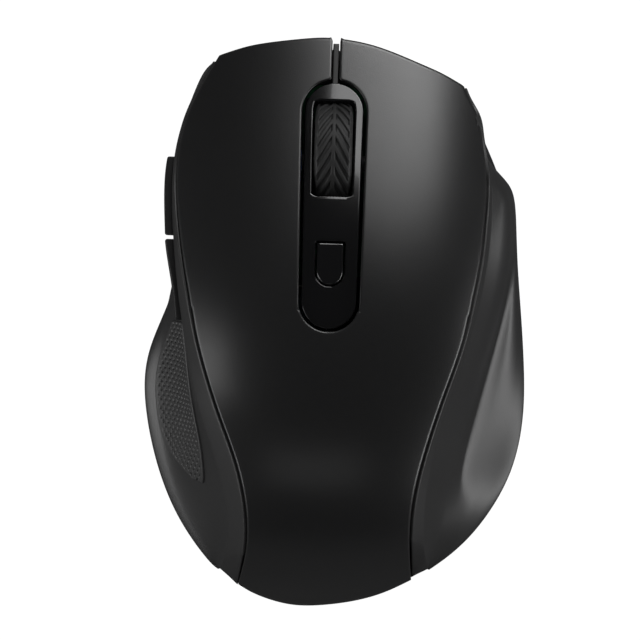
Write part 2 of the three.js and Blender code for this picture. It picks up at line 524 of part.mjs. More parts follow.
// The scroll wheel: hub with its axle, a rubber tyre round it, and the sprung carrier that holds both.
const ring = (points, sides) => {
  const shape = new THREE.LatheGeometry(points.map(([r, x]) => new THREE.Vector2(r, x)), sides);
  return solid(shape.rotateZ(Math.PI / 2).translate(AXIS_X, WHEEL.y, WHEEL.z));
};
const w = WHEEL.halfWidth;
const hub = [[0, -6.6], [WHEEL.axleRadius, -6.6], [WHEEL.axleRadius, -w + 0.6], [3, -w + 0.6], [3, -1.2], [7.6, -1.2],
  [7.6, 0.4 - w], [WHEEL.hubRadius, 0.4 - w], [WHEEL.hubRadius, w - 0.4], [7.6, w - 0.4], [7.6, 1.2], [3, 1.2],
  [3, w - 0.6], [WHEEL.axleRadius, w - 0.6], [WHEEL.axleRadius, 6.6], [0, 6.6]];
keep("scroll_wheel_hub", 0x2a2a2c, ring(hub, 36), 0.4);
const inner = WHEEL.hubRadius + 0.3;
const tread = [[inner, -w], [WHEEL.radius - 0.7, -w], [WHEEL.radius - 0.1, 0.9 - w], [WHEEL.radius, 0],
  [WHEEL.radius - 0.1, w - 0.9], [WHEEL.radius - 0.7, w], [inner, w], [inner, -w]];
keep("scroll_wheel_tyre", 0x0e0e0f, ring(tread, 48), 0.85);
const frameOuter = box([AXIS_X - 5.6, 16.6, 8.2], [AXIS_X + 5.6, 42.4, 11]);
const frameInner = box([AXIS_X - 4.2, 18, 0], [AXIS_X + 4.2, 41, DEEP]);
const cheeks = [-5.6, 4.2].map((x) =>
  box([AXIS_X + x, WHEEL.y - 2.8, 9], [AXIS_X + x + 1.4, WHEEL.y + 2.8, 20.2]));
const pressTab = box([AXIS_X + 5.4, 21.4, 10.2], [AXIS_X + 11, 24.6, 11]);
keep("wheel_carrier", 0x303032, cut(join(cut(frameOuter, frameInner), ...cheeks, pressTab),
  bar("x", [AXIS_X - 8, WHEEL.y, WHEEL.z], 16, WHEEL.axleRadius + 0.4, 16)));

// The main board and what is soldered to it.
const [boardLeft, boardRight] = [AXIS_X - BOARD.half, AXIS_X + BOARD.half];
const boardBlank = box([boardLeft, BOARD.rear, BOARD.bottom], [boardRight, BOARD.front, BOARD.top]);
const wheelSlot = box([AXIS_X - 4.6, 22, 0], [AXIS_X + 4.6, 38, DEEP]);
const sensorWindow = box([AXIS_X - 2, 10.4, 0], [AXIS_X + 2, 14.6, DEEP]);
const bossHoles = [SCREWS.front_left, SCREWS.front_right].map(([x, y]) => bar("z", [x, y, 0], 20, 3, 16));
const boardPlate = cut(boardBlank, wheelSlot, sensorWindow, ...bossHoles);
const chip = (x, y, z, lx, ly, lz) => box([x - lx / 2, y - ly / 2, z], [x + lx / 2, y + ly / 2, z + lz]);
const onBoard = BOARD.top + 0.3;
keep("main_board", 0x1f5a34, boardPlate, 0.5);
keep("controller_chip", 0x141414, chip(9, 14, onBoard, 5, 5, 1));
keep("sensor_chip", 0x101010, chip(AXIS_X, 12.4, onBoard, 9.8, 6.6, 2));
keep("tracking_led", 0xc03030, chip(-9.5, 12.4, onBoard, 2, 1.2, 0.8));
const lensPlate = chip(AXIS_X, 12.5, FLOOR_Z + 0.3, 9, 7.6, 1.1);
keep("sensor_lens", 0xbfc7cc, join(lensPlate, bar("z", [AXIS_X, 12.5, 2.4], 2, 2.2, 20)), 0.1);
for (const [name, side] of [["left", -1], ["right", 1]]) {
  const x = AXIS_X + side * 12;
  keep(`${name}_switch`, 0x202022, cut(chip(x, 39, onBoard, 5.8, 12.8, 6.5), chip(x, 42, 12.2, 2.2, 3.4, 5)));
  keep(`${name}_switch_plunger`, 0xe8e8e2, chip(x, 42, 12.9, 1.5, 2.7, 2.1));
}
const middleX = AXIS_X + 9.2;
keep("middle_switch", 0x202022, join(chip(middleX, 23, onBoard, 6, 6, 1.6), bar("z", [middleX, 23, 9], 0.6, 1.6, 12)));
const encoderBlock = box([AXIS_X - 9.6, WHEEL.y - 3.6, onBoard], [AXIS_X - 6, WHEEL.y + 2.4, 20.4]);
const encoderHole = bar("x", [AXIS_X - 10, WHEEL.y, WHEEL.z - 0.25], 5, 2.2, 16);
keep("wheel_encoder", 0x2f6fb0, cut(encoderBlock, encoderHole));

// The small board under the strip, and the upright board behind the thumb buttons.
keep("dpi_board", 0x1f5a34, chip(AXIS_X, 11, 27.6, 6.2, 12, 1));
keep("dpi_switch", 0x202022, chip(AXIS_X, 11, 28.9, 4.4, 4.4, 1.7));
const sideBoardOutline = [[3, 12.5], [26.5, 12.5], [26.5, 21.4], [12, 25], [3, 25]];
keep("side_board", 0x1f5a34, sidePrism(sideBoardOutline, -21.9, -20.8));
keep("forward_switch", 0x202022, box([-23.8, 19.5, 14.8], [-22.2, 25.5, 20.8]));
keep("back_switch", 0x202022, box([-23.8, 4.5, 18.2], [-22.2, 10.5, 24.2]));

// Power switch under the front left of the case.
keep("power_switch_body", 0x2a2a2c, box([-17.2, 17.4, FLOOR_Z + 0.3], [-10.8, 25.6, BOARD.bottom - 0.3]));
keep("power_switch_knob", 0xb8b8b4, cut(box([-15.4, 18.6, 1.2], [-12.6, 21.4, FLOOR_Z]),
  ...[19.4, 20.6].map((y) => box([-16, y - 0.2, 0], [-12, y + 0.2, 1.6]))));

// Battery, its contacts, and the radio receiver stowed beside it.
const alongY = (radius, y0, y1, sides) => bar("y", [BATTERY.x, y0, BATTERY.z], y1 - y0, radius, sides);
const cellEnd = BATTERY.rear + BATTERY.length;
const cell = alongY(BATTERY.radius, BATTERY.rear, cellEnd, 32);
keep("battery", 0x3c4650, join(cell, alongY(2.7, cellEnd - 0.1, cellEnd + 1, 16)), 0.35, 0.6);
class Coil extends THREE.Curve {
  getPoint(share) {
    const angle = share * 2 * Math.PI * 3;
    const radius = 3.8 - 1.6 * share;
    const y = -47.6 + 2.5 * share;
    return new THREE.Vector3(BATTERY.x + radius * Math.cos(angle), y, BATTERY.z + radius * Math.sin(angle));
  }
}
const wire = new THREE.Shape().absarc(0, 0, 0.28, 0, 2 * Math.PI);
const coil = new THREE.ExtrudeGeometry(wire, { steps: 42, curveSegments: 6, extrudePath: new Coil() });
keep("battery_spring", 0xc8c8cc, solid(coil), 0.25, 1);
keep("negative_contact", 0xc8c8cc, chip(BATTERY.x, -48.4, FLOOR_Z + 1, 7, 0.4, 9.4), 0.25, 1);
keep("positive_contact", 0xc8c8cc, chip(BATTERY.x, 6.6, FLOOR_Z + 1, 9, 0.4, 11), 0.25, 1);
const headMiddle = (RECEIVER.headRear + RECEIVER.headFront) / 2;
const plugMiddle = (RECEIVER.plugRear + RECEIVER.headRear) / 2 - 0.15;
const plugMouth = chip(RECEIVER.x, RECEIVER.plugRear, 5.9, 11.2, 16, 2.1);
keep("receiver_body", 0x1c1c1e, chip(RECEIVER.x, headMiddle, 3.1, 14.4, 6.8, 6));
keep("receiver_plug", 0xb4b4b8, cut(chip(RECEIVER.x, plugMiddle, 3.9, 12, 11.9, 4.5), plugMouth), 0.25, 1);

export default mouse;
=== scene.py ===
"""A right-handed wireless mouse: its smooth moulded surfaces, tread, finishes, floor, lights and camera."""

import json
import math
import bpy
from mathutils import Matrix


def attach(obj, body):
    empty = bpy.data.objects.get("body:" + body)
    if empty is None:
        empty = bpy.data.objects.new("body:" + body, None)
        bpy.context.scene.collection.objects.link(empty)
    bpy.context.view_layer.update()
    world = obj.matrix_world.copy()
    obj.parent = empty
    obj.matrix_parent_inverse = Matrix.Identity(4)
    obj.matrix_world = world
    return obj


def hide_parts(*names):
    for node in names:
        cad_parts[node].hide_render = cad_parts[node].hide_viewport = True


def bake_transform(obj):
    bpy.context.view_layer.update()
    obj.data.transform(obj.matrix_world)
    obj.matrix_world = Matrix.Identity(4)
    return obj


bl_info = {
    "name": "Wireless mouse",
    "version": (1, 0, 0),
    "blender": (4, 5, 0),
    "location": "View3D > Sidebar > Mouse",
    "description": "Builds the visible surfaces and finishes of a wireless mouse over its packed model",
    "category": "Object",
}

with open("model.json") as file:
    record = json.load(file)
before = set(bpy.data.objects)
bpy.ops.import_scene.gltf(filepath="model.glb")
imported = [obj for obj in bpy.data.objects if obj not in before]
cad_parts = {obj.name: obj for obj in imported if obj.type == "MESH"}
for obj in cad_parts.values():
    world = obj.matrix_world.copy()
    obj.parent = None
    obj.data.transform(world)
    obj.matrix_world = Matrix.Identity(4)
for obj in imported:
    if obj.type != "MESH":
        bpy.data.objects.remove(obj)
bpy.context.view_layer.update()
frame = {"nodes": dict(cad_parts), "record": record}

import bmesh
import bpy
import numpy as np
from bpy.props import FloatProperty, FloatVectorProperty, IntProperty, PointerProperty
from mathutils import Vector

# ------------------------------------------------------------------ sizes, in millimetres
MM = 0.001
CENTRE = np.array([0.46, -0.07, 0.0])  # the middle of the outline, which is the origin
AXIS_X = -1.2  # the middle line of the strip, the wheel and the slot
HINGE_Y = 2.0  # where the palm and the button arms meet
SLOT_HALF = 0.72
PARTING_Z = 5.0
SEAM = 0.35
COVER_THICK, COVER_SKIRT = 1.8, 2.2  # the cover's wall, and how far its rim hangs down
STRIP_REAR, STRIP_FRONT, STRIP_HALF_REAR, STRIP_HALF_FRONT = -2.0, 46.0, 5.8, 6.15
ROUND_REAR = STRIP_REAR + STRIP_HALF_REAR  # the middles of its round ends
ROUND_FRONT = STRIP_FRONT - STRIP_HALF_FRONT
STRIP_GAP, STRIP_SUNK = 0.6, 0.9
WINDOW_HALF, WINDOW_REAR, WINDOW_FRONT, WINDOW_CORNER = 4.4, 23.8, 42.0, 1.6
DPI_HALF, DPI_REAR, DPI_FRONT, DPI_GAP = 2.45, 7.0, 14.9, 0.35
WHEEL_Y, WHEEL_Z, WHEEL_RADIUS, WHEEL_HALF, HUB_RADIUS = 30.1, 17.2, 11.6, 3.6, 9.5
HINGE_HEIGHT, HINGE_BLEND = 0.036, 9.0  # the hinge's height in metres, and a length in millimetres in front of the hinge line

# The cover's left and right edges, as [y, x]; its front and rear edges, as [x, y]; its middle line, as [y, z].
COVER_LEFT = [[49.4, -23.8], [44.7, -26.4], [38.7, -29.1], [31.8, -30.6], [23, -30.7], [16.9, -30], [9.5, -28.8],
              [2.7, -27.4], [-4.8, -25.7], [-11.1, -23.8], [-19.2, -20.9], [-25.6, -18.4], [-32, -16.5],
              [-38.3, -15.5], [-45, -15.7], [-50.1, -16.8]]
COVER_RIGHT = [[45.6, 23.3], [43.5, 24.2], [40.7, 25.8], [36, 27], [31.2, 27.8], [24.4, 28.2], [18.7, 27.9],
               [12.5, 27.4], [5, 26.1], [-3.8, 24.2], [-13.4, 21.1], [-22.6, 18.3], [-30.5, 16.4], [-36.2, 15.6],
               [-42.3, 15.5], [-48.4, 16]]
COVER_FRONT = [[-23.3, 50.1], [-19.4, 51.5], [-14.4, 52.7], [-6.3, 53.8], [-1.2, 53.9], [6.2, 52.7], [14.6, 49.7],
               [19.2, 47.8], [23.3, 45.6]]
COVER_REAR = [[-16.8, -50.6], [-13.5, -52.4], [-8.2, -54], [-2.5, -54.3], [4.4, -53.35], [10.6, -51.5],
              [16, -48.8]]
SPINE = [[-56, 3], [-54, 7.5], [-50, 15.6], [-44, 24], [-34, 32.6], [-22, 37.6], [-10, 39], [4, 37.2], [18, 32.6],
         [34, 25.4], [46, 19.4], [54, 15.2], [58, 13]]

# Guide lines of the side shells, front to rear, as [x, y, z]. Left: the rim beside the cover, the hollow for the
# thumb, the foot of that hollow, the widest line and the lower edge.
LEFT_GUIDES = [
    [[-24.5, 48.7, 11.9], [-26.8, 45.9, 12.9], [-29.6, 38, 15.6], [-31.6, 28, 19.4], [-31.4, 17, 24], [-30.2, 6, 28],
     [-28.1, -6.5, 30.6], [-25.3, -17.5, 31], [-21.3, -28.5, 28.4], [-19.1, -38.5, 22.6], [-19.6, -45, 14.5],
     [-20.5, -47.7, 6.6]],
    [[-24.1, 48.2, 10.8], [-26.1, 45.7, 11.7], [-28.2, 37.8, 13.4], [-29.4, 28, 15.6], [-28.6, 17, 18.6],
     [-27.7, 6, 20.2], [-27.5, -6, 21.2], [-27.6, -17, 21], [-25.6, -28, 20], [-22.4, -37.8, 16.4],
     [-20.7, -44.7, 11.4], [-20.6, -47.7, 6.3]],
    [[-24, 47.8, 9.4], [-25.8, 45.6, 9.6], [-27.9, 37.6, 10.4], [-29.4, 28, 11.4], [-29.4, 17, 12.2],
     [-30, 6, 12.4], [-31.6, -5, 12.4], [-32, -16, 12.2], [-30, -27, 12.2], [-26.6, -36.8, 11.2], [-22.6, -44.2, 9.2],
     [-20.8, -47.7, 6]],
    [[-23.9, 47.2, 7.6], [-25.8, 45.4, 7.6], [-28, 37.6, 7.6], [-30.2, 28, 7.8], [-30.5, 17, 8], [-30.9, 6, 8.4],
     [-35.3, -6, 9], [-35.9, -17, 9], [-33.2, -28.6, 8.8], [-28.7, -38.6, 8.2], [-23.5, -45.6, 7.2],
     [-21, -47.8, 5.6]],
    [[-23.8, 46.7, 5], [-25.4, 45.2, 5], [-27.6, 37.4, 5], [-29.7, 28, 5], [-29.9, 17, 5], [-30.3, 6, 5],
     [-33.8, -6, 5], [-34.4, -17, 5], [-31.8, -28.2, 5], [-27.4, -38, 5], [-22.9, -45.1, 5], [-20.9, -47.6, 5]],
]
# Right: the rim, the swell of the wall, its foot, the ledge for the little finger, the widest line, the lower edge.
RIGHT_GUIDES = [
    [[23.9, 45, 11.2], [24.6, 43.4, 11.9], [26.8, 37.5, 14.2], [27.9, 33, 15.9], [28.9, 28, 17.9], [29.15, 25.2, 18.9],
     [29.3, 20.5, 20.6], [28.6, 12, 23.9], [27, 2.5, 27.4], [24.2, -8, 30.4], [21.3, -18, 31], [19, -28, 28.8],
     [18.1, -37, 23.8], [18.4, -43.2, 16.6], [19.2, -46.5, 6.6]],
    [[23.8, 44.7, 10.4], [24.5, 43.2, 10.8], [26.8, 37.3, 12.6], [27.8, 32.5, 14.3], [30, 28.6, 14.8],
     [31.6, 25.6, 16.9], [32.3, 21.5, 18.1], [32.5, 12.5, 19.6], [30.6, 2.5, 21], [27.6, -8, 22.6],
     [24.6, -18, 22.4], [22.2, -28, 20.4], [21, -37, 17.6], [20, -43, 12.2], [19.2, -46.4, 6.3]],
    [[23.7, 44.4, 9.4], [24.5, 43, 9.6], [26.8, 37, 10.2], [28.2, 32.1, 11], [31.2, 28.3, 11.7], [33, 25.3, 12.3],
     [33.65, 21, 13.1], [33.6, 13, 13.3], [32, 2.5, 13.4], [29.5, -8, 13.9], [27, -18, 14.2], [25, -28, 13.4],
     [24.4, -36.8, 13.2], [21.8, -42.6, 9.8], [19.2, -46.4, 6.1]],
    [[23.7, 44.2, 8.5], [24.5, 42.9, 8.6], [26.9, 36.9, 9], [28.3, 32, 9.3], [31.5, 28.2, 9.7], [33.3, 25.3, 10.1],
     [33.9, 20.9, 10.6], [34.4, 13, 11.6], [34.5, 2.5, 11.8], [33.6, -8, 11.4], [31.8, -18, 11], [29.6, -28, 10.4],
     [27, -37, 10.2], [23.2, -43, 8.2], [19.5, -46.6, 5.8]],
    [[23.6, 43.9, 7.4], [24.5, 42.8, 7.4], [27, 36.8, 7.4], [28.4, 31.9, 7.4], [31.6, 28.1, 7.4],
     [33.4, 25.2, 7.4], [34.1, 20.8, 7.4], [34.6, 13, 7.4], [35.7, 2.5, 7.4], [36.7, -8, 7.4], [36.8, -18, 7.4],
     [34.5, -28.6, 7.4], [29.1, -38, 7.2], [23.8, -43.6, 6.8], [19.6, -46.8, 5.5]],
    [[23.2, 43.1, 5], [24.2, 42.4, 5], [27, 36.5, 5], [28.4, 32, 5], [30.9, 28.3, 5], [32.4, 25.2, 5],
     [33.3, 20.6, 5], [33.8, 13, 5], [34.6, 2.5, 5], [35.4, -8, 5], [35.4, -18, 5], [33.1, -28.4, 5],
     [28.1, -37.4, 5], [23.3, -43.1, 5], [19.5, -46.6, 5]],
]
# Thumb side pieces seen from the side, as [y, z].
FORWARD_LINES = {"front": 30.4, "rear": 15.5, "low": (12.4, 17.2), "high": (17.4, 23.4)}
BACK_LINES = {"front": 14.7, "rear": -0.4, "low": (17.4, 22.0), "high": (23.8, 28.6)}
GRIP_TOP = [[-1.4, 27.4], [-10, 27.8], [-18, 26.9], [-24, 25], [-28.8, 22.2], [-30.8, 20.4]]
GRIP_BOTTOM = [[-1.4, 13.6], [-9, 11.7], [-17, 11.3], [-23, 11.8], [-27.2, 13.8], [-30.4, 17.6]]


# ------------------------------------------------------------------ curves and surfaces
def spline(knots, values):
    """Natural cubic spline: the smooth curve through values at rising knots whose bend is zero at both ends."""
    knots = np.asarray(knots, float)
    values = np.asarray(values, float)
    step = np.diff(knots)
    shape = (-1,) + (1,) * (values.ndim - 1)
    slope = np.diff(values, axis=0) / step.reshape(shape)
    system = np.diag(np.concatenate([[1], 2 * (step[:-1] + step[1:]), [1]]))
    system += np.diag(np.concatenate([[0], step[1:]]), 1) + np.diag(np.concatenate([step[:-1], [0]]), -1)
    right = np.zeros_like(values)
    right[1:-1] = 6 * np.diff(slope, axis=0)
    bend = np.linalg.solve(system, right.reshape(len(knots), -1)).reshape(values.shape)

    def at(where):
        where = np.asarray(where, float)
        i = np.clip(np.searchsorted(knots, where) - 1, 0, len(knots) - 2)
        grow = where.shape + (1,) * (values.ndim - 1)
        a = ((knots[i + 1] - where) / step[i]).reshape(grow)
        b = 1 - a
        square = (step[i] ** 2).reshape(grow) / 6
        return a * values[i] + b * values[i + 1] + ((a**3 - a) * bend[i] + (b**3 - b) * bend[i + 1]) * square

    return at


def spline_of(pairs):
    """Spline through [t, value] pairs given in either order."""
    pairs = np.array(sorted(pairs), float)
    return spline(pairs[:, 0], pairs[:, 1])


def thread(points):
    """Spline through points in the plane or in space, read by a share from 0 to 1 of their count."""
    return spline(np.linspace(0, 1, len(points)), points)


def smooth(t):
    """Rises from 0 to 1 with level ends."""
    t = np.clip(t, 0, 1)
    return t * t * (3 - 2 * t)


spine_height = spline_of(SPINE)
left_edge = spline_of(COVER_LEFT)
right_edge = spline_of(COVER_RIGHT)


def cover_height(x, y):
    """The middle line's height, less a crown that grows with the square (and a little with the fourth power) of the
    distance across, and tilted a little to the right."""
    across = x - AXIS_X
    crown = 0.0065 + 0.003 * smooth((-5 - y) / 35)
    return spine_height(y) - crown * across**2 - 3e-6 * across**4 - 0.04 * across


def cover_surface(x, y):
    """The cover's outside over a point of the plan: the point itself, raised to the cover's height there."""
    return np.stack([x, y, cover_height(x, y)], -1)


def side_surface(guides, edge, side, creases, tail):
    """A loft: each section is a quadratic B-spline whose control points lie on the guide lines and, first of all, just
    outside the cover's edge and half a millimetre below it. A crease keeps the corner at its guide line: two control
    points near the line stand in for the one on it. It is given as how near they are and the share from which it
    softens. Over the last tenth the first points turn down to the parting line and back by the tail."""
    lines = [thread(line) for line in guides]

    def surface(share, down):
        share, down = np.broadcast_arrays(np.asarray(share, float), np.asarray(down, float))
        points = [line(share) for line in lines]
        y = points[0][..., 1]
        seam = smooth((share - 0.9) / 0.1)
        x = edge(y - tail * seam) + side * (0.7 - 0.25 * seam - 0.25 * smooth((y - 28) / 9))
        top = cover_height(x, y) - 0.5
        first = np.stack([x, y - tail * seam, top + (PARTING_Z + 1.6 - top) * seam], -1)
        points = [first] + points
        control = []
        for k, point in enumerate(points):
            if k not in creases:
                control.append(point)
            else:
                tight, start = creases[k]
                tight = (tight + (0.5 - tight) * smooth((share - start) / 0.1))[..., None]
                control.append(point + (points[k - 1] - point) * tight)
                control.append(point + (points[k + 1] - point) * tight)
        control = np.stack(control, 0)
        spans = len(control) - 2
        place = np.clip(down, 0, 1) * spans
        k = np.clip(place.astype(int), 0, spans - 1)
        t = (place - k)[..., None]
        before, here, after = (np.take_along_axis(control, (k + i)[None, ..., None], 0)[0] for i in range(3))
        start = np.where((k == 0)[..., None], before, (before + here) / 2)
        end = np.where((k == spans - 1)[..., None], after, (here + after) / 2)
        return (1 - t) ** 2 * start + 2 * t * (1 - t) * here + t * t * end

    return surface


left_surface = side_surface(LEFT_GUIDES, left_edge, -1, {1: (0.08, 2), 4: (0.14, 2)}, 2.6)
right_surface = side_surface(RIGHT_GUIDES, right_edge, 1, {1: (0.08, 2), 3: (0.1, 0.78), 5: (0.14, 2)}, 1.5)


FLAT_STEP = 0.05  # millimetres of the plan, for normals by small steps


def in_mm(length):
    """A length of the settings, in millimetres."""
    return round(length / MM, 5)


def normals_of(surface, a, b, step, facing):
    """Unit normals from small steps along both parameters; facing is 1 or -1, whichever points outwards."""
    along = surface(a + step, b) - surface(a - step, b)
    across = surface(a, b + step) - surface(a, b - step)
    normal = np.cross(along, across) * facing
    return normal / np.maximum(np.linalg.norm(normal, axis=-1, keepdims=True), 1e-9)


def side_normals(surface, share, down, side):
    """Outward normals of a side shell, kept off the ends of its parameters."""
    share = np.clip(share, 0.002, 0.998)
    down = np.clip(down, 0.002, 0.998)
    return normals_of(surface, share, down, 0.0015, side)


def find_on_left(y, z):
    """The left surface's parameters at a side-view point: the share is found from y, then the section from z."""
    table = np.linspace(0, 1, 400)
    share = np.full(np.shape(y), 0.5)
    down = np.full(np.shape(y), 0.4)
    for _ in range(3):
        rows = left_surface(table, float(np.mean(down)))[:, 1]
        share = np.interp(-np.asarray(y), -rows, table)
        low, high = np.zeros_like(share), np.ones_like(share)
        for _ in range(22):
            down = (low + high) / 2
            above = left_surface(share, down)[..., 2] > z
            low, high = np.where(above, down, low), np.where(above, high, down)
    return share, down


def coons(bottom, top, left, right):
    """Plan points filling four sides: each pair of opposite sides is blended, less the blend of the corners."""
    u = np.linspace(0, 1, len(bottom))[:, None, None]
    v = np.linspace(0, 1, len(left))[None, :, None]
    across = (1 - v) * bottom[:, None] + v * top[:, None]
    along = (1 - u) * left[None] + u * right[None]
    corners = ((1 - u) * (1 - v) * bottom[0] + u * (1 - v) * bottom[-1] + (1 - u) * v * top[0] + u * v * top[-1])
    return across + along - corners


def resample(points, count):
    """The same polyline with count points at equal distances along it."""
    points = np.asarray(points, float)
    length = np.concatenate([[0], np.cumsum(np.linalg.norm(np.diff(points, axis=0), axis=1))])
    at = np.linspace(0, 1, count) * length[-1]
    return np.stack([np.interp(at, length, points[:, k]) for k in range(points.shape[1])], -1)


def spread(start, end, count):
    """For each row, count even steps from start up to but not on end."""
    return start[:, None] + (end - start)[:, None] * np.linspace(0, 1, count, endpoint=False)[None]


# ------------------------------------------------------------------ meshes
DOUBLES = 1e-7  # metres
SHARP_DEGREES = 42


def piece(name, vertices, faces, body, material, replaced):
    """Makes a closed object from millimetre points, faces it outwards, and hangs it on a body. Where body is a tuple
    of two bodies, a start and an end, the object hangs on no body and keeps its place; that tuple's contents are not
    used."""
    vertices = (np.asarray(vertices, float) - CENTRE) * MM
    mesh = bpy.data.meshes.new(name)
    mesh.from_pydata(vertices, [], faces)
    work = bmesh.new()
    work.from_mesh(mesh)
    bmesh.ops.delete(work, geom=[v for v in work.verts if not v.link_faces], context="VERTS")
    bmesh.ops.remove_doubles(work, verts=work.verts, dist=DOUBLES)
    bmesh.ops.dissolve_degenerate(work, edges=work.edges, dist=DOUBLES)
    bmesh.ops.recalc_face_normals(work, faces=work.faces)
    open_edges = sum(1 for edge in work.edges if not edge.is_manifold)
    if open_edges:
        raise RuntimeError(f"{name} has {open_edges} edges that don't join exactly two faces")
    work.to_mesh(mesh)
    work.free()
    mesh.shade_smooth()
    mesh.set_sharp_from_angle(angle=math.radians(SHARP_DEGREES))
    mesh.materials.append(material)
    obj = bpy.data.objects.new(name, mesh)
    bpy.context.scene.collection.objects.link(obj)
    if isinstance(body, str):
        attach(obj, body)
    else:
        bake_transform(obj)
    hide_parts(*replaced)


def grid_quads(ids):
    """Quads between neighbouring rows and columns of a grid of vertex numbers."""
    return np.stack([ids[:-1, :-1], ids[1:, :-1], ids[1:, 1:], ids[:-1, 1:]], -1)


def border_of(i0, i1, j0, j1):
    """Row and column numbers round a rectangle of a grid, once, without repeats."""
    rows, columns = np.arange(i0, i1 + 1), np.arange(j0, j1 + 1)
    i = np.concatenate([rows[:-1], np.full(len(columns) - 1, i1), rows[:0:-1], np.full(len(columns) - 1, i0)])
    j = np.concatenate([np.full(len(rows) - 1, j0), columns[:-1], np.full(len(rows) - 1, j1), columns[:0:-1]])
    return i, j


def outward(points, normals, inwards):
    """Unit vectors lying on the surface and pointing off a closed border, lengthened at its corners to keep a
    rounded edge even; inwards is True round a hole."""
    forward = np.roll(points, -1, 0) - points
    off = np.cross(forward, normals)
    off /= np.maximum(np.linalg.norm(off, axis=1, keepdims=True), 1e-9)
    before = np.roll(off, 1, 0)
    share = 1 + np.sum(off * before, 1, keepdims=True)
    mitre = (off + before) / np.maximum(share, 0.6)
    sign = np.sign(np.sum((points - points.mean(0)) * mitre))
    return mitre * (-sign if inwards else sign)


EDGE_STEPS = 4
LEAST_WALL, SKIRT_THICK = 0.2, 1.2
LEAST_RISE = 0.15  # the least upward part of a normal, to keep steep ground's fall finite


def slab(points, normals, radius, thick, holes=(), steer=None, floor=None):
    """A closed plate. The grid is its outer face, and the same grid moved inwards by the thickness is its back. Round
    each border the points turn down a quarter circle, edge + radius * (sin turn * outwards - (1 - cos turn) * normal),
    and a straight wall joins that to the back. Where floor is given, the outer border turns down by a quadratic curve
    in plan directions instead, and its wall hangs straight down to the height floor gives. steer, if given, changes
    the directions in which the border's points turn out."""
    rows, columns, _ = points.shape
    count = rows * columns
    ids = np.arange(count).reshape(rows, columns)
    kept = np.ones((rows - 1, columns - 1), bool)
    for i0, i1, j0, j1 in holes:
        kept[i0:i1, j0:j1] = False
    top = grid_quads(ids)[kept]
    vertices = [points.reshape(-1, 3), (points - normals * thick).reshape(-1, 3)]
    faces = [top, top[:, ::-1] + count]
    total = 2 * count
    for number, borders in enumerate([(0, rows - 1, 0, columns - 1), *holes]):
        i, j = border_of(*borders)
        edge, normal = points[i, j], normals[i, j]
        off = outward(edge, normal, number > 0)
        if steer is not None:
            off = steer(edge, off)
        if floor is not None and number == 0:
            flat = np.concatenate([plan_outward(edge[:, :2]), np.zeros((len(edge), 1))], 1)
            if steer is not None:
                flat = steer(edge, flat)
            fall = np.sum(normal * flat, 1) / np.maximum(normal[:, 2], LEAST_RISE)
            knee = edge + flat * radius
            knee[:, 2] -= fall * radius
            foot = knee - [0, 0, radius]
            rings = [(1 - t) ** 2 * edge + 2 * t * (1 - t) * knee + t * t * foot
                     for t in np.linspace(0, 1, EDGE_STEPS + 1)[1:]]
            skirt = foot.copy()
            skirt[:, 2] = np.minimum(skirt[:, 2] - LEAST_WALL, floor(edge))
            rings += [skirt, skirt - flat * min(SKIRT_THICK, thick)]
        else:
            rings = [edge + (normal * (math.cos(turn) - 1) + off * math.sin(turn)) * radius
                     for turn in np.linspace(0, math.pi / 2, EDGE_STEPS + 1)[1:]]
            rings.append(rings[-1] - normal * (thick - radius))
        loop = ids[i, j]
        for ring in rings:
            here = total + np.arange(len(ring))
            faces.append(np.stack([loop, np.roll(loop, -1), np.roll(here, -1), here], -1))
            vertices.append(ring)
            loop = here
            total += len(ring)
        back = ids[i, j] + count
        faces.append(np.stack([loop, np.roll(loop, -1), np.roll(back, -1), back], -1))
    return np.concatenate(vertices), np.concatenate(faces).tolist()


# ------------------------------------------------------------------ the cover
def arc(cx, cy, radius, start, end, count):
    """Points of a circle's arc between two angles in degrees."""
    angle = np.radians(np.linspace(start, end, count))
    return np.stack([cx + radius * np.cos(angle), cy + radius * np.sin(angle)], -1)


def inset_loop(sides, distance):
    """Moves the closed loop of four sides inwards as four sides with shared corners, and drops the points that would
    fold over near its corners."""
    loop = np.concatenate([side[:-1] for side in sides])
    moved = loop - plan_outward(loop) * distance
    ends = np.cumsum([0] + [len(side) - 1 for side in sides])
    closed = np.concatenate([moved, moved[:1]])
    away = np.min(np.linalg.norm(closed[:, None] - loop[None], axis=2), axis=1)
    clear = away > distance * 0.99
    clear[ends] = True
    return [closed[a : b + 1][clear[a : b + 1]] for a, b in zip(ends[:-1], ends[1:])]


def plan_outward(loop):
    """Horizontal outward directions along a closed loop of the plan, lengthened at its corners."""
    flat = np.concatenate([loop, np.zeros((len(loop), 1))], 1)
    return outward(flat, np.tile([0.0, 0.0, 1.0], (len(loop), 1)), False)[:, :2]


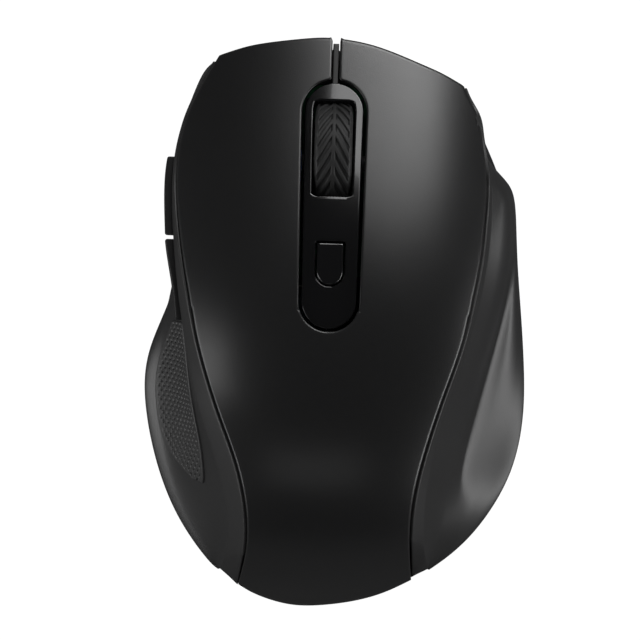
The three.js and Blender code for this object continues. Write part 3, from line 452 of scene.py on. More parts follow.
def cover_plan():
    """The three plan patches of the cover: palm, left arm and right arm, each as four sides in order round it."""
    front = thread(COVER_FRONT)(np.linspace(0, 1, 300))
    rear = thread(COVER_REAR)(np.linspace(0, 1, 200))
    y_left = np.linspace(50.0, -50.2, 500)
    y_right = np.linspace(45.5, -48.6, 500)
    left = np.stack([left_edge(y_left), y_left], -1)
    right = np.stack([right_edge(y_right), y_right], -1)
    edge_left, edge_right = float(left_edge(HINGE_Y)), float(right_edge(HINGE_Y))

    def hinge(x0, x1, count):
        return np.stack([np.linspace(x0, x1, count), np.full(count, HINGE_Y)], -1)

    def side_wall(side):
        x0, x1 = AXIS_X + side * STRIP_HALF_FRONT, AXIS_X + side * STRIP_HALF_REAR
        y = np.linspace(ROUND_FRONT, HINGE_Y, 200)
        straight = x0 + (x1 - x0) * (ROUND_FRONT - y) / (ROUND_FRONT - ROUND_REAR)
        into = np.clip(ROUND_REAR - y, 0, STRIP_HALF_REAR)
        rounded = AXIS_X + side * np.sqrt(STRIP_HALF_REAR**2 - into**2)
        return np.stack([np.where(y < ROUND_REAR, rounded, straight), y], -1)

    def arm(side):
        outer = left if side < 0 else right
        outer = outer[outer[:, 1] >= HINGE_Y]
        edge = front if side < 0 else front[::-1]
        edge = edge[(edge[:, 0] - AXIS_X) * side > SLOT_HALF]
        edge = np.concatenate([outer[:1], edge[np.linalg.norm(edge - outer[0], axis=1) > 0.5],
                               [[AXIS_X + side * SLOT_HALF, 53.9 - 0.07 * (side + 1)]]])
        lean = math.degrees(math.asin(SLOT_HALF / STRIP_HALF_FRONT))
        start, end = (90 + lean, 180) if side < 0 else (90 - lean, 0)
        round_end = arc(AXIS_X, ROUND_FRONT, STRIP_HALF_FRONT, start, end, 40)
        inner = np.concatenate([edge[-1:], round_end, side_wall(side)[1:]])
        outer = np.concatenate([outer, [[edge_left if side < 0 else edge_right, HINGE_Y]]])
        rear_line = hinge(inner[-1, 0], outer[-1, 0], 50)
        return edge, inner, rear_line, outer[::-1]

    dip = math.degrees(math.asin((ROUND_REAR - HINGE_Y) / STRIP_HALF_REAR))
    notch = arc(AXIS_X, ROUND_REAR, STRIP_HALF_REAR, 180 + dip, 360 - dip, 60)
    palm_front = np.concatenate([hinge(edge_left, notch[0, 0], 60)[:-1], notch,
                                 hinge(notch[-1, 0], edge_right, 60)[1:]])
    palm_right = np.concatenate([[[edge_right, HINGE_Y]], right[right[:, 1] < HINGE_Y], rear[-1:]])
    palm_left = np.concatenate([[[edge_left, HINGE_Y]], left[left[:, 1] < HINGE_Y], rear[:1]])
    palm = (palm_front, palm_right, rear[::-1], palm_left[::-1])
    return palm, arm(-1), arm(1)


def cover_patch(sides, across, along, radius):
    """Fills a plan patch with a grid, its border moved in by the edge's radius: a Coons patch of the four sides gives
    the plan, and each point is dropped on the cover's surface."""
    counts = (across, along, across, along)
    sides = inset_loop([resample(side, 3 * n) for side, n in zip(sides, counts)], radius)
    sides = [resample(side, n) for side, n in zip(sides, counts)]
    plan = coons(sides[0], sides[2][::-1], sides[3][::-1], sides[1])
    return cover_surface(plan[..., 0], plan[..., 1])


def along_hinge(edge, off):
    """Keeps the points on the hinge line from turning out along y, so that palm and arms meet there."""
    on_hinge = np.abs(edge[:, 1] - HINGE_Y) < 1e-4
    return np.where(on_hinge[:, None], off * [1, 0, 0], off)


def palm_skirt(edge):
    """Height the palm's rim hangs down to: the skirt's depth, and all the way to the parting line at the rear."""
    hang, low = edge[:, 2] - COVER_SKIRT, PARTING_Z + 0.25
    return np.where(edge[:, 1] < -46, low, hang - (hang - low) * smooth((-43 - edge[:, 1]) / 3))


def arm_skirt(edge):
    """Height an arm's rim hangs down to, deeper at the front."""
    return edge[:, 2] - COVER_SKIRT - 2.6 * smooth((edge[:, 1] - 44.5) / 1.5)


class MOUSE_OT_cover(bpy.types.Operator):
    """Makes the cover: the palm piece and the two button arms that meet it at the hinge line"""

    bl_idname = "mouse.cover"
    bl_label = "Cover"

    def execute(self, context):
        radius = in_mm(context.scene.mouse_sizes.cover_edge)
        material = cover_material(context)
        palm, left, right = cover_plan()
        start = (0, (HINGE_Y - CENTRE[1]) * MM, HINGE_HEIGHT)
        end = (0, (HINGE_Y + HINGE_BLEND - CENTRE[1]) * MM, HINGE_HEIGHT)
        for name, patch, across, along, floor, body, node in (
                ("cover_palm", palm, 160, 130, palm_skirt, "mouse", "palm_cover"),
                ("cover_left_arm", left, 90, 170, arm_skirt,
                 ("mouse", "left_button", start, end), "left_button"),
                ("cover_right_arm", right, 90, 170, arm_skirt,
                 ("mouse", "right_button", start, end), "right_button")):
            points, normals = to_hinge(cover_patch(patch, across, along, radius), radius)
            vertices, faces = slab(points, normals, radius, COVER_THICK, steer=along_hinge, floor=floor)
            piece(name, vertices, faces, body, material, [node])
        return {"FINISHED"}


def to_hinge(points, margin):
    """Stretches a patch's rows near the hinge line over the margin, so that palm and arms share that line exactly:
    a distance g from the line becomes (g - margin) * reach / (reach - margin) within the reach."""
    reach = 4.0
    x, y = points[..., 0], points[..., 1]
    gap = np.abs(y - HINGE_Y)
    beside = smooth((np.abs(x - AXIS_X) - STRIP_HALF_REAR + 0.1) / 0.2)
    moved = np.maximum(gap - margin, 0) * reach / (reach - margin)
    y = HINGE_Y + np.sign(y - HINGE_Y) * np.where(gap < reach, gap + (moved - gap) * beside, gap)
    return cover_surface(x, y), normals_of(cover_surface, x, y, FLAT_STEP, 1)


# ------------------------------------------------------------------ the side shells
SHELL_THICK = 1.5
CAP_EDGE, CAP_INSIDE = 0.45, 1.3
GRIP_STAND, GRIP_EDGE, GRIP_THICK = 0.45, 0.3, 1.3
BUTTON_ROW = 0.33  # how far down the left surface the thumb buttons lie


def thumb_lines(lines, y):
    """Heights of a thumb button's lower and upper edges at y: each is a straight line between its two ends."""
    share = (lines["front"] - y) / (lines["front"] - lines["rear"])
    low = lines["low"][0] + (lines["low"][1] - lines["low"][0]) * share
    high = lines["high"][0] + (lines["high"][1] - lines["high"][0]) * share
    return low, high


def left_rows():
    """Shares along the left shell, with exact rows at the ends of both thumb buttons, and those row numbers."""
    stops_y = np.array([FORWARD_LINES["front"] + SEAM, FORWARD_LINES["rear"] - SEAM, BACK_LINES["front"] + SEAM,
                        BACK_LINES["rear"] - SEAM])
    middle = np.linspace(0, 1, 600)
    stops = np.interp(-stops_y, -left_surface(middle, BUTTON_ROW)[:, 1], middle)
    marks = np.concatenate([[0], stops, [1]])
    counts = [34, 34, 3, 34, 110]
    stretches = [np.linspace(a, b, n, endpoint=False) for a, b, n in zip(marks[:-1], marks[1:], counts)]
    return np.concatenate(stretches + [[1]]), np.cumsum(counts)[:4]


class MOUSE_OT_side_shells(bpy.types.Operator):
    """Makes the two side shells from their lofts, the left one with openings for the thumb buttons"""

    bl_idname = "mouse.side_shells"
    bl_label = "Side shells"

    def execute(self, context):
        radius = in_mm(context.scene.mouse_sizes.shell_edge)
        material = shell_material(context)
        rows, marks = left_rows()
        y = left_surface(rows, BUTTON_ROW)[:, 1]
        low_f, high_f = thumb_lines(FORWARD_LINES, y)
        low_b, high_b = thumb_lines(BACK_LINES, y)
        # The openings' two lines pass from the front button's to the rear button's in the gap between them.
        turn = smooth((BACK_LINES["front"] + 0.4 - y) + 0.5)
        low = low_f + (low_b - low_f) * turn - SEAM
        high = high_f + (high_b - high_f) * turn + SEAM
        fade = smooth((y - BACK_LINES["rear"] + 10) / 10) * smooth((42 - y) / 10)
        _, upper = find_on_left(y, high)
        _, lower = find_on_left(y, low)
        # Away from the buttons both lines settle at fixed shares of the section.
        upper = 0.30 + (upper - 0.30) * fade
        lower = 0.55 + (lower - 0.55) * fade
        counts = [26, 22, 44]
        zero, one = np.zeros_like(upper), np.ones_like(upper)
        down = np.concatenate([spread(zero, upper, counts[0]), spread(upper, lower, counts[1]),
                               spread(lower, one, counts[2]), one[:, None]], 1)
        share = np.repeat(rows[:, None], down.shape[1], 1)
        points = left_surface(share, down)
        normals = side_normals(left_surface, share, down, -1)
        j0, j1 = counts[0], counts[0] + counts[1]
        holes = [(marks[0], marks[1], j0, j1), (marks[2], marks[3], j0, j1)]
        vertices, faces = slab(points, normals, radius, SHELL_THICK, holes)
        piece("left_side", vertices, faces, "mouse", material, ["left_side_shell"])

        share, down = np.meshgrid(np.linspace(0, 1, 200), np.linspace(0, 1, 100), indexing="ij")
        points = right_surface(share, down)
        normals = side_normals(right_surface, share, down, 1)
        vertices, faces = slab(points, normals, radius, SHELL_THICK)
        piece("right_side", vertices, faces, "mouse", material, ["right_side_shell"])
        return {"FINISHED"}


def left_patch(top, bottom, across, along):
    """A patch of the left surface between two side-view curves, front to rear: the side view is blended straight from
    the lower to the upper curve, and each of its points is found on the surface. Gives the points, their normals and
    that side view."""
    low, high = resample(bottom, along), resample(top, along)
    share = np.linspace(0, 1, across)[:, None, None]
    side_view = low[None] + (high - low)[None] * share
    a, b = find_on_left(side_view[..., 0], side_view[..., 1])
    return left_surface(a, b), side_normals(left_surface, a, b, -1), side_view


class MOUSE_OT_thumb_pieces(bpy.types.Operator):
    """Makes the forward and back buttons and the dotted rubber grip on the thumb side. A button is a patch of the left
    surface pushed straight out by its stand, plus a swell that falls off with the square of the distance from its
    middle; the grip is a patch lifted along its normals, less its dots"""

    bl_idname = "mouse.thumb_pieces"
    bl_label = "Thumb pieces"

    def execute(self, context):
        sizes = context.scene.mouse_sizes
        material = button_material(context)
        stand, swell, fall = in_mm(sizes.thumb_stand), in_mm(sizes.thumb_swell), in_mm(sizes.thumb_fall)
        for name, lines in (("forward_button", FORWARD_LINES), ("back_button", BACK_LINES)):
            y = np.linspace(lines["front"] - 0.4, lines["rear"] + 0.4, 80)
            low, high = thumb_lines(lines, y)
            points, _, _ = left_patch(np.stack([y, high - 0.5], -1), np.stack([y, low + 0.5], -1), 30, 80)
            across = np.linspace(-1, 1, 30)[:, None]
            lift = stand + swell * (1 - across**2) - fall * smooth((BACK_LINES["front"] - y) / 12)
            out = np.broadcast_to([-1.0, 0.0, 0.0], points.shape)
            vertices, faces = slab(points + out * lift[..., None], out, CAP_EDGE, stand + CAP_INSIDE)
            piece(name + "_cap", vertices, faces, name, material, [name])

        top = resample(thread(GRIP_TOP)(np.linspace(0, 1, 80)), 300)
        bottom = resample(thread(GRIP_BOTTOM)(np.linspace(0, 1, 80)), 300)
        points, normals, side_view = left_patch(top, bottom, 120, 300)
        length = np.linalg.norm(np.diff(points, axis=0), axis=-1)
        along = np.concatenate([np.zeros((1, 300)), np.cumsum(length, 0)], 0)
        along = along - along[-1:]
        dents = dimples(side_view[..., 0], along, in_mm(sizes.dot_pitch), in_mm(sizes.dot_radius))
        edge = np.minimum(along - along.min(0), -along)
        dents = dents * smooth(edge / 0.8 - 0.4)
        lift = GRIP_STAND - in_mm(sizes.dot_depth) * dents
        vertices, faces = slab(points + normals * lift[..., None], normals, GRIP_EDGE, GRIP_THICK)
        piece("grip_inlay", vertices, faces, "mouse", grip_material(context), ["thumb_grip"])
        return {"FINISHED"}


def dimples(u, v, pitch, radius):
    """1 in the middle of each dot of a square lattice turned by 45 degrees, falling smoothly to 0 at its radius."""
    a, b = (u + v) / math.sqrt(2) / pitch, (u - v) / math.sqrt(2) / pitch
    far = np.hypot(a - np.round(a), b - np.round(b)) * pitch
    return smooth(1.15 - far / radius)


# ------------------------------------------------------------------ the strip and its button
BLUNT_STRIP, BLUNT_SHIELD = 0.1, 0.12  # radians left off the round ends, so that no row has zero width


def stadium_half(y, margin):
    """Half the width of the strip's outline at y, less a margin all round: a straight taper between two circles."""
    front, rear = STRIP_HALF_FRONT - margin, STRIP_HALF_REAR - margin
    straight = rear + (front - rear) * np.clip((y - ROUND_REAR) / (ROUND_FRONT - ROUND_REAR), 0, 1)
    end_front = np.sqrt(np.maximum(front**2 - np.maximum(y - ROUND_FRONT, 0) ** 2, 0))
    end_rear = np.sqrt(np.maximum(rear**2 - np.maximum(ROUND_REAR - y, 0) ** 2, 0))
    return np.where(y > ROUND_FRONT, end_front, np.where(y < ROUND_REAR, end_rear, straight))


def window_half(y, grow):
    """Half the width of the wheel's window at y: straight sides, less what a circle takes off in its corners."""
    corner = WINDOW_CORNER + grow
    into = np.maximum(y - (WINDOW_FRONT - WINDOW_CORNER), (WINDOW_REAR + WINDOW_CORNER) - y)
    into = np.clip(into, 0, corner)
    return WINDOW_HALF + grow - corner + np.sqrt(corner**2 - into**2)


def shield_half(y, grow):
    """Half the width of the small button's outline at y: straight sides and a round rear end."""
    half = DPI_HALF + grow
    into = np.clip(DPI_REAR + DPI_HALF - y, 0, half)
    return np.sqrt(half**2 - into**2)


def cosine(start, end, count, first=0.0, last=1.0):
    """Numbers from start to end, crowded together at both ends or at the ends of the share of a half turn given."""
    turn = np.linspace(first, last, count) * math.pi
    share = (math.cos(first * math.pi) - np.cos(turn)) / (math.cos(first * math.pi) - math.cos(last * math.pi))
    return start + (end - start) * share


def sunk(depth):
    """The cover's surface moved down by a depth."""
    return lambda x, y: cover_surface(x, y) - [0, 0, depth]


def dish(x, y):
    """The small button's top: the strip's surface 0.45 below the cover's, hollowed with the square of the distance
    across."""
    return cover_surface(x, y) - [0, 0, 1] * (0.45 - 0.012 * (x - AXIS_X) ** 2)[..., None]


class MOUSE_OT_strip(bpy.types.Operator):
    """Makes the glossy centre strip, the rib in front of it and the small button in it. The strip is a grid of rows
    across its outline; in each row the columns run evenly from the outer edge to the window's or the button's edge,
    over it, and on to the other outer edge, so both openings have exact borders"""

    bl_idname = "mouse.strip"
    bl_label = "Centre strip"

    def execute(self, context):
        radius = in_mm(context.scene.mouse_sizes.strip_edge)
        margin = STRIP_GAP + radius
        around = DPI_GAP + radius
        tip_front = ROUND_FRONT + (STRIP_HALF_FRONT - margin) * math.cos(BLUNT_STRIP)
        tip_rear = ROUND_REAR - (STRIP_HALF_REAR - margin) * math.cos(BLUNT_STRIP)
        shield = [DPI_REAR + DPI_HALF - (DPI_HALF + around) * math.cos(BLUNT_SHIELD), DPI_FRONT + around]
        window = [WINDOW_REAR - radius, WINDOW_FRONT + radius]
        parts = [cosine(tip_rear, shield[0], 30, 0, 0.6)[:-1], cosine(shield[0], shield[1], 44, 0, 0.8)[:-1],
                 np.linspace(shield[1], window[0], 20)[:-1], cosine(window[0], window[1], 70)[:-1],
                 cosine(window[1], tip_front, 30, 0.4, 1)]
        y = np.concatenate(parts)
        marks = np.cumsum([len(part) for part in parts])
        outer = stadium_half(y, margin)
        near_window = smooth((y - shield[1] - 1) / (window[0] - shield[1] - 2))
        inner_shield = np.maximum(shield_half(np.clip(y, *shield), around), 0.3)
        inner_window = window_half(np.clip(y, *window), radius)
        inner = inner_shield + (inner_window - inner_shield) * near_window
        inner = np.minimum(inner, outer * 0.8)
        sides, middle = 14, 16
        x = AXIS_X + np.concatenate([spread(-outer, -inner, sides), spread(-inner, inner, middle),
                                     spread(inner, outer, sides), outer[:, None]], 1)
        columns = (sides, sides + middle)
        holes = [(marks[0], marks[1], *columns), (marks[2], marks[3], *columns)]
        vertices, faces = self.plate(sunk(STRIP_SUNK), x, y, radius, 2.4, holes)
        piece("strip_insert", vertices, faces, "mouse", strip_material(context), ["centre_strip"])

        y = np.linspace(STRIP_FRONT - 0.9, 52.8, 24)
        x = AXIS_X + np.repeat(np.linspace(-0.4, 0.4, 7)[None], len(y), 0)
        vertices, faces = self.plate(sunk(1.1), x, y, 0.15, 5.0)
        piece("slot_rib", vertices, faces, "mouse", button_material(context), ["centre_strip"])

        edge = 0.3
        y = cosine(DPI_REAR + DPI_HALF - (DPI_HALF - edge) * math.cos(BLUNT_SHIELD), DPI_FRONT - edge, 40, 0, 0.8)
        half = np.maximum(shield_half(y, -edge), 0.2)
        x = AXIS_X + half[:, None] * np.linspace(-1, 1, 24)[None]
        vertices, faces = self.plate(dish, x, y, edge, 3.4)
        piece("dpi_button_cap", vertices, faces, "dpi_button", strip_material(context),
              ["dpi_button"])
        return {"FINISHED"}

    def plate(self, surface, x, y, radius, thick, holes=()):
        """A slab whose outer face is the surface over rows at y, each with its own x."""
        y = np.repeat(y[:, None], x.shape[1], 1)
        return slab(surface(x, y), normals_of(surface, x, y, FLAT_STEP, 1), radius, thick, holes)


# ------------------------------------------------------------------ the wheel
class MOUSE_OT_wheel(bpy.types.Operator):
    """Makes the rubber tyre: a profile of radius over width, turned about the axle, less the tread's grooves. A groove
    is a cosine of the turn whose phase slides back with the distance from the middle, which makes the chevrons"""

    bl_idname = "mouse.wheel"
    bl_label = "Scroll wheel"

    def execute(self, context):
        sizes = context.scene.mouse_sizes
        repeats = sizes.tread_count
        slant, blocks = 0.62, 20
        turn = np.linspace(0, 2 * math.pi, repeats * blocks, endpoint=False)[:, None]
        across = np.linspace(-1, 1, 61)[None] * (WHEEL_HALF - 0.25)
        far = np.abs(across) / WHEEL_HALF
        base = WHEEL_RADIUS - 0.25 * far**2 - 0.9 * np.clip((far - 0.8) / 0.2, 0, 1) ** 2
        phase = repeats * turn / (2 * math.pi) - slant * np.abs(across)
        # Raised parts: the chevron bars, a narrow rib round the middle and, a little lower, the shoulders.
        bar = smooth((np.cos(2 * math.pi * phase) + 0.35) / 0.7)
        spine_bar = smooth((0.55 - np.abs(across)) / 0.3)
        shoulder = smooth((np.abs(across) - WHEEL_HALF + 0.9) / 0.3)
        raised = np.maximum(np.maximum(bar, spine_bar), 0.6 * shoulder)
        radius = base - in_mm(sizes.tread_depth) * (1 - raised)
        side_x = np.array([WHEEL_HALF, WHEEL_HALF, WHEEL_HALF, 0, -WHEEL_HALF, -WHEEL_HALF, -WHEEL_HALF])
        wall, foot = WHEEL_RADIUS - 1.5, WHEEL_RADIUS - 1.8
        side_r = np.array([wall, foot, HUB_RADIUS, HUB_RADIUS, HUB_RADIUS, foot, wall])
        x = np.concatenate([np.repeat(across, len(turn), 0), np.repeat(side_x[None], len(turn), 0)], 1)
        r = np.concatenate([radius, np.repeat(side_r[None], len(turn), 0)], 1)
        y = WHEEL_Y + r * np.cos(turn)
        z = WHEEL_Z + r * np.sin(turn)
        vertices = np.stack([AXIS_X + x, y, z], -1)
        rows, columns = x.shape
        ids = np.arange(rows * columns).reshape(rows, columns)
        ids = np.concatenate([ids, ids[:1]], 0)
        ids = np.concatenate([ids, ids[:, :1]], 1)
        faces = grid_quads(ids).reshape(-1, 4).tolist()
        piece("wheel_tyre", vertices.reshape(-1, 3), faces, "scroll_wheel", tyre_material(context),
              ["scroll_wheel_tyre"])
        return {"FINISHED"}


# ------------------------------------------------------------------ finishes
def socket(tree, name, kind, way, value=None):
    """Adds a named socket to a node group."""
    made = tree.interface.new_socket(name=name, in_out=way, socket_type=kind)
    if value is not None:
        made.default_value = value


def noise(tree, scale, detail):
    """A noise texture of a node group."""
    node = tree.nodes.new("ShaderNodeTexNoise")
    node.inputs["Scale"].default_value = scale
    node.inputs["Detail"].default_value = detail
    return node


def maths(tree, operation, *values):
    """A maths node of a node group: a number sets an input, and a socket is linked to it."""
    node = tree.nodes.new("ShaderNodeMath")
    node.operation = operation
    for place, value in zip(node.inputs, values):
        if isinstance(value, bpy.types.NodeSocket):
            tree.links.new(value, place)
        else:
            place.default_value = value
    return node.outputs[0]


def grain_group():
    """Moulded plastic: fine spark-eroded grain, faint mottling and the soft sheen that handling leaves."""
    found = bpy.data.node_groups.get("Moulded grain")
    if found:
        return found
    tree = bpy.data.node_groups.new("Moulded grain", "ShaderNodeTree")
    socket(tree, "Colour", "NodeSocketColor", "INPUT", (0.03, 0.03, 0.03, 1))
    socket(tree, "Colour variation", "NodeSocketFloat", "INPUT", 0.15)
    socket(tree, "Roughness", "NodeSocketFloat", "INPUT", 0.5)
    socket(tree, "Roughness variation", "NodeSocketFloat", "INPUT", 0.08)
    socket(tree, "Grain per metre", "NodeSocketFloat", "INPUT", 3500.0)
    socket(tree, "Grain height", "NodeSocketFloat", "INPUT", 0.00001)
    socket(tree, "Colour", "NodeSocketColor", "OUTPUT")
    socket(tree, "Roughness", "NodeSocketFloat", "OUTPUT")
    socket(tree, "Normal", "NodeSocketVector", "OUTPUT")
    nodes, link = tree.nodes, tree.links.new
    given = nodes.new("NodeGroupInput")
    out = nodes.new("NodeGroupOutput")
    place = nodes.new("ShaderNodeTexCoord")
    grain, mottle, rub = noise(tree, 3500, 2), noise(tree, 900, 3), noise(tree, 45, 4)
    for texture in (grain, mottle, rub):
        link(place.outputs["Object"], texture.inputs["Vector"])
    link(given.outputs["Grain per metre"], grain.inputs["Scale"])
    bump = nodes.new("ShaderNodeBump")
    bump.inputs["Strength"].default_value = 1
    link(given.outputs["Grain height"], bump.inputs["Distance"])
    link(grain.outputs["Fac"], bump.inputs["Height"])
    link(bump.outputs["Normal"], out.inputs["Normal"])
    rubbed = maths(tree, "SUBTRACT", rub.outputs["Fac"], 0.5)
    link(maths(tree, "MULTIPLY_ADD", rubbed, given.outputs["Roughness variation"], given.outputs["Roughness"]),
         out.inputs["Roughness"])
    mottled = maths(tree, "SUBTRACT", mottle.outputs["Fac"], 0.5)
    tint = nodes.new("ShaderNodeVectorMath")
    tint.operation = "SCALE"
    link(given.outputs["Colour"], tint.inputs[0])
    link(maths(tree, "MULTIPLY_ADD", mottled, given.outputs["Colour variation"], 1.0), tint.inputs["Scale"])
    link(tint.outputs[0], out.inputs["Colour"])
    return tree


def finish(name, colour, roughness, grain=3500.0, height=0.00001, variation=0.15, rub=0.08, **fixed):
    """A material with the moulded grain group and any fixed values of the surface shader."""
    material = bpy.data.materials.get(name)
    if material:
        return material
    material = bpy.data.materials.new(name)
    material.use_nodes = True
    tree = material.node_tree
    shader = tree.nodes["Principled BSDF"]
    group = tree.nodes.new("ShaderNodeGroup")
    group.node_tree = grain_group()
    group.inputs["Colour"].default_value = (*colour[:3], 1)
    group.inputs["Colour variation"].default_value = variation
    group.inputs["Roughness"].default_value = roughness
    group.inputs["Roughness variation"].default_value = rub
    group.inputs["Grain per metre"].default_value = grain
    group.inputs["Grain height"].default_value = height
    tree.links.new(group.outputs["Colour"], shader.inputs["Base Color"])
    tree.links.new(group.outputs["Roughness"], shader.inputs["Roughness"])
    tree.links.new(group.outputs["Normal"], shader.inputs["Normal"])
    for socket_name, value in fixed.items():
        shader.inputs[socket_name.replace("_", " ")].default_value = value
    material.diffuse_color = (*colour[:3], 1)
    return material


def cover_material(context):
    """Soft-touch black of the cover."""
    looks = context.scene.mouse_finishes
    return finish("Soft touch cover", looks.cover_colour, looks.cover_roughness, 4200, 0.000012, 0.2, 0.06)


def shell_material(context):
    """Satin black of the side shells."""
    looks = context.scene.mouse_finishes
    return finish("Satin shell", looks.shell_colour, looks.shell_roughness, 3600, 0.000012, 0.2, 0.06)


def strip_material(context):
    """Polished black of the strip, with the faintest orange peel of the mould."""
    looks = context.scene.mouse_finishes
    return finish("Polished strip", looks.strip_colour, 0.12, 700, 0.000002, 0.05, 0.05, Coat_Weight=0.3)


def button_material(context):
    """Smooth satin black of the small buttons."""
    looks = context.scene.mouse_finishes
    return finish("Satin button", looks.button_colour, 0.42, 5200, 0.000006, 0.12, 0.06, Specular_IOR_Level=0.3)


def tyre_material(context):
    """Matt rubber of the tyre."""
    looks = context.scene.mouse_finishes
    return finish("Wheel rubber", looks.rubber_colour, 0.62, 6000, 0.00001, 0.3, 0.1)


def floor_material(context):
    """Pale matt floor that glows only to the eye, so that it stays out of the reflections in the mouse."""
    looks = context.scene.mouse_finishes
    material = finish("Pale floor", looks.floor_colour, 0.9, 300, 0.000002, 0.0, 0.0)
    tree = material.node_tree
    path = tree.nodes.new("ShaderNodeLightPath")
    glow = tree.nodes.new("ShaderNodeMix")
    glow.data_type = "RGBA"
    glow.inputs["A"].default_value = (0, 0, 0, 1)
    glow.inputs["B"].default_value = (0.97, 0.97, 0.97, 1)
    tree.links.new(path.outputs["Is Camera Ray"], glow.inputs["Factor"])
    shader = tree.nodes["Principled BSDF"]
    tree.links.new(glow.outputs["Result"], shader.inputs["Emission Color"])
    shader.inputs["Emission Strength"].default_value = 1
    return material


def grip_material(context):
    """Matt rubber of the thumb grip."""
    looks = context.scene.mouse_finishes
    return finish("Grip rubber", looks.grip_colour, 0.5, 6000, 0.00001, 0.2, 0.08)


def soften_group():
    """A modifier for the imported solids: joins their loose triangles and shades them smooth, except across the edges
    that turn by more than the crease angle."""
    found = bpy.data.node_groups.get("Smooth solid")
    if found:
        return found
    tree = bpy.data.node_groups.new("Smooth solid", "GeometryNodeTree")
    socket(tree, "Geometry", "NodeSocketGeometry", "INPUT")
    socket(tree, "Geometry", "NodeSocketGeometry", "OUTPUT")
    nodes, link = tree.nodes, tree.links.new
    given, out = nodes.new("NodeGroupInput"), nodes.new("NodeGroupOutput")
    joined = nodes.new("GeometryNodeMergeByDistance")
    joined.inputs["Distance"].default_value = 2e-6
    faces = nodes.new("GeometryNodeSetShadeSmooth")
    edges = nodes.new("GeometryNodeSetShadeSmooth")
    edges.domain = "EDGE"
    edges.inputs["Shade Smooth"].default_value = False
    angle = nodes.new("GeometryNodeInputMeshEdgeAngle")
    steep = nodes.new("FunctionNodeCompare")
    steep.operation = "GREATER_THAN"
    steep.inputs["B"].default_value = math.radians(32)
    link(angle.outputs["Unsigned Angle"], steep.inputs["A"])
    link(steep.outputs["Result"], edges.inputs["Selection"])
    link(given.outputs["Geometry"], joined.inputs["Geometry"])
    link(joined.outputs["Geometry"], faces.inputs["Geometry"])
    link(faces.outputs["Geometry"], edges.inputs["Geometry"])
    link(edges.outputs["Geometry"], out.inputs["Geometry"])
    return tree


# Finish of each imported solid that stays: material name, colour, roughness, and fixed shader values.
SOLID_FINISHES = {
    "wheel_plastic": ("Wheel plastic", (0.03, 0.03, 0.032), 0.4, {}),
    "case_plastic": ("Base plastic", (0.017, 0.017, 0.018), 0.5, {}),
    "glide_plastic": ("Slippery glide", (0.03, 0.03, 0.032), 0.3, {}),
    "screw_steel": ("Zinc plated steel", (0.52, 0.53, 0.55), 0.32, {"Metallic": 1.0}),
    "circuit_board": ("Green circuit board", (0.012, 0.09, 0.035), 0.35, {"Coat_Weight": 0.3}),
    "chip_black": ("Black component", (0.015, 0.015, 0.016), 0.45, {}),
    "plunger_plastic": ("Pale moulding", (0.62, 0.62, 0.59), 0.4, {}),
    "encoder_plastic": ("Blue moulding", (0.02, 0.09, 0.35), 0.4, {}),
    "led_red": ("Red lens", (0.5, 0.02, 0.02), 0.15, {"Coat_Weight": 0.5}),
    "battery_wrap": ("Battery sleeve", (0.03, 0.045, 0.06), 0.3, {"Coat_Weight": 0.4}),
    "spring_steel": ("Nickel plated spring steel", (0.62, 0.61, 0.58), 0.28, {"Metallic": 1.0}),
    "receiver_plastic": ("Receiver cap", (0.02, 0.02, 0.02), 0.4, {}),
    "plug_steel": ("Stamped steel", (0.6, 0.6, 0.61), 0.3, {"Metallic": 1.0}),
    "lens_clear": ("Clear lens", (0.85, 0.9, 0.92), 0.05, {"Transmission_Weight": 1.0}),
}


class MOUSE_OT_solid_finishes(bpy.types.Operator):
    """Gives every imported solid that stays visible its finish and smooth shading"""

    bl_idname = "mouse.solid_finishes"
    bl_label = "Inner and under parts"

    def execute(self, context):
        slots = {entry["node"]: entry["material_slot"] for entry in frame["record"]["subparts"]}
        for name, obj in frame["nodes"].items():
            given = SOLID_FINISHES.get(slots[name])
            if obj.hide_render or given is None:
                continue
            title, colour, roughness, fixed = given
            material = finish(title, colour, roughness, 3200, 0.000008, 0.15, 0.08, **fixed)
            for holder in obj.material_slots:
                holder.material = material
            obj.modifiers.new("Smooth solid", "NODES").node_group = soften_group()
        return {"FINISHED"}


# ------------------------------------------------------------------ the stage
FLOOR_REACH = 3.0  # metres
EYE_HEIGHT, FOCUS_HEIGHT, VIEW_WIDTH = 4.0, 0.014, 0.1219  # metres; the view is this wide at the focus height
EYE_X, EYE_Y, EYE_TURN = -2.77, 0.2, 1.7  # millimetres and degrees


def area_light(name, place, aim, width, height, power):
    """A soft rectangular light aimed at a point above the origin, aim metres up."""
    data = bpy.data.lights.new(name, "AREA")
    data.shape = "RECTANGLE"
    data.size, data.size_y = width, height
    data.energy = power
    lamp = bpy.data.objects.new(name, data)
    lamp.location = place
    lamp.rotation_euler = (Vector((0, 0, aim)) - Vector(place)).to_track_quat("-Z", "Y").to_euler()
    bpy.context.scene.collection.objects.link(lamp)


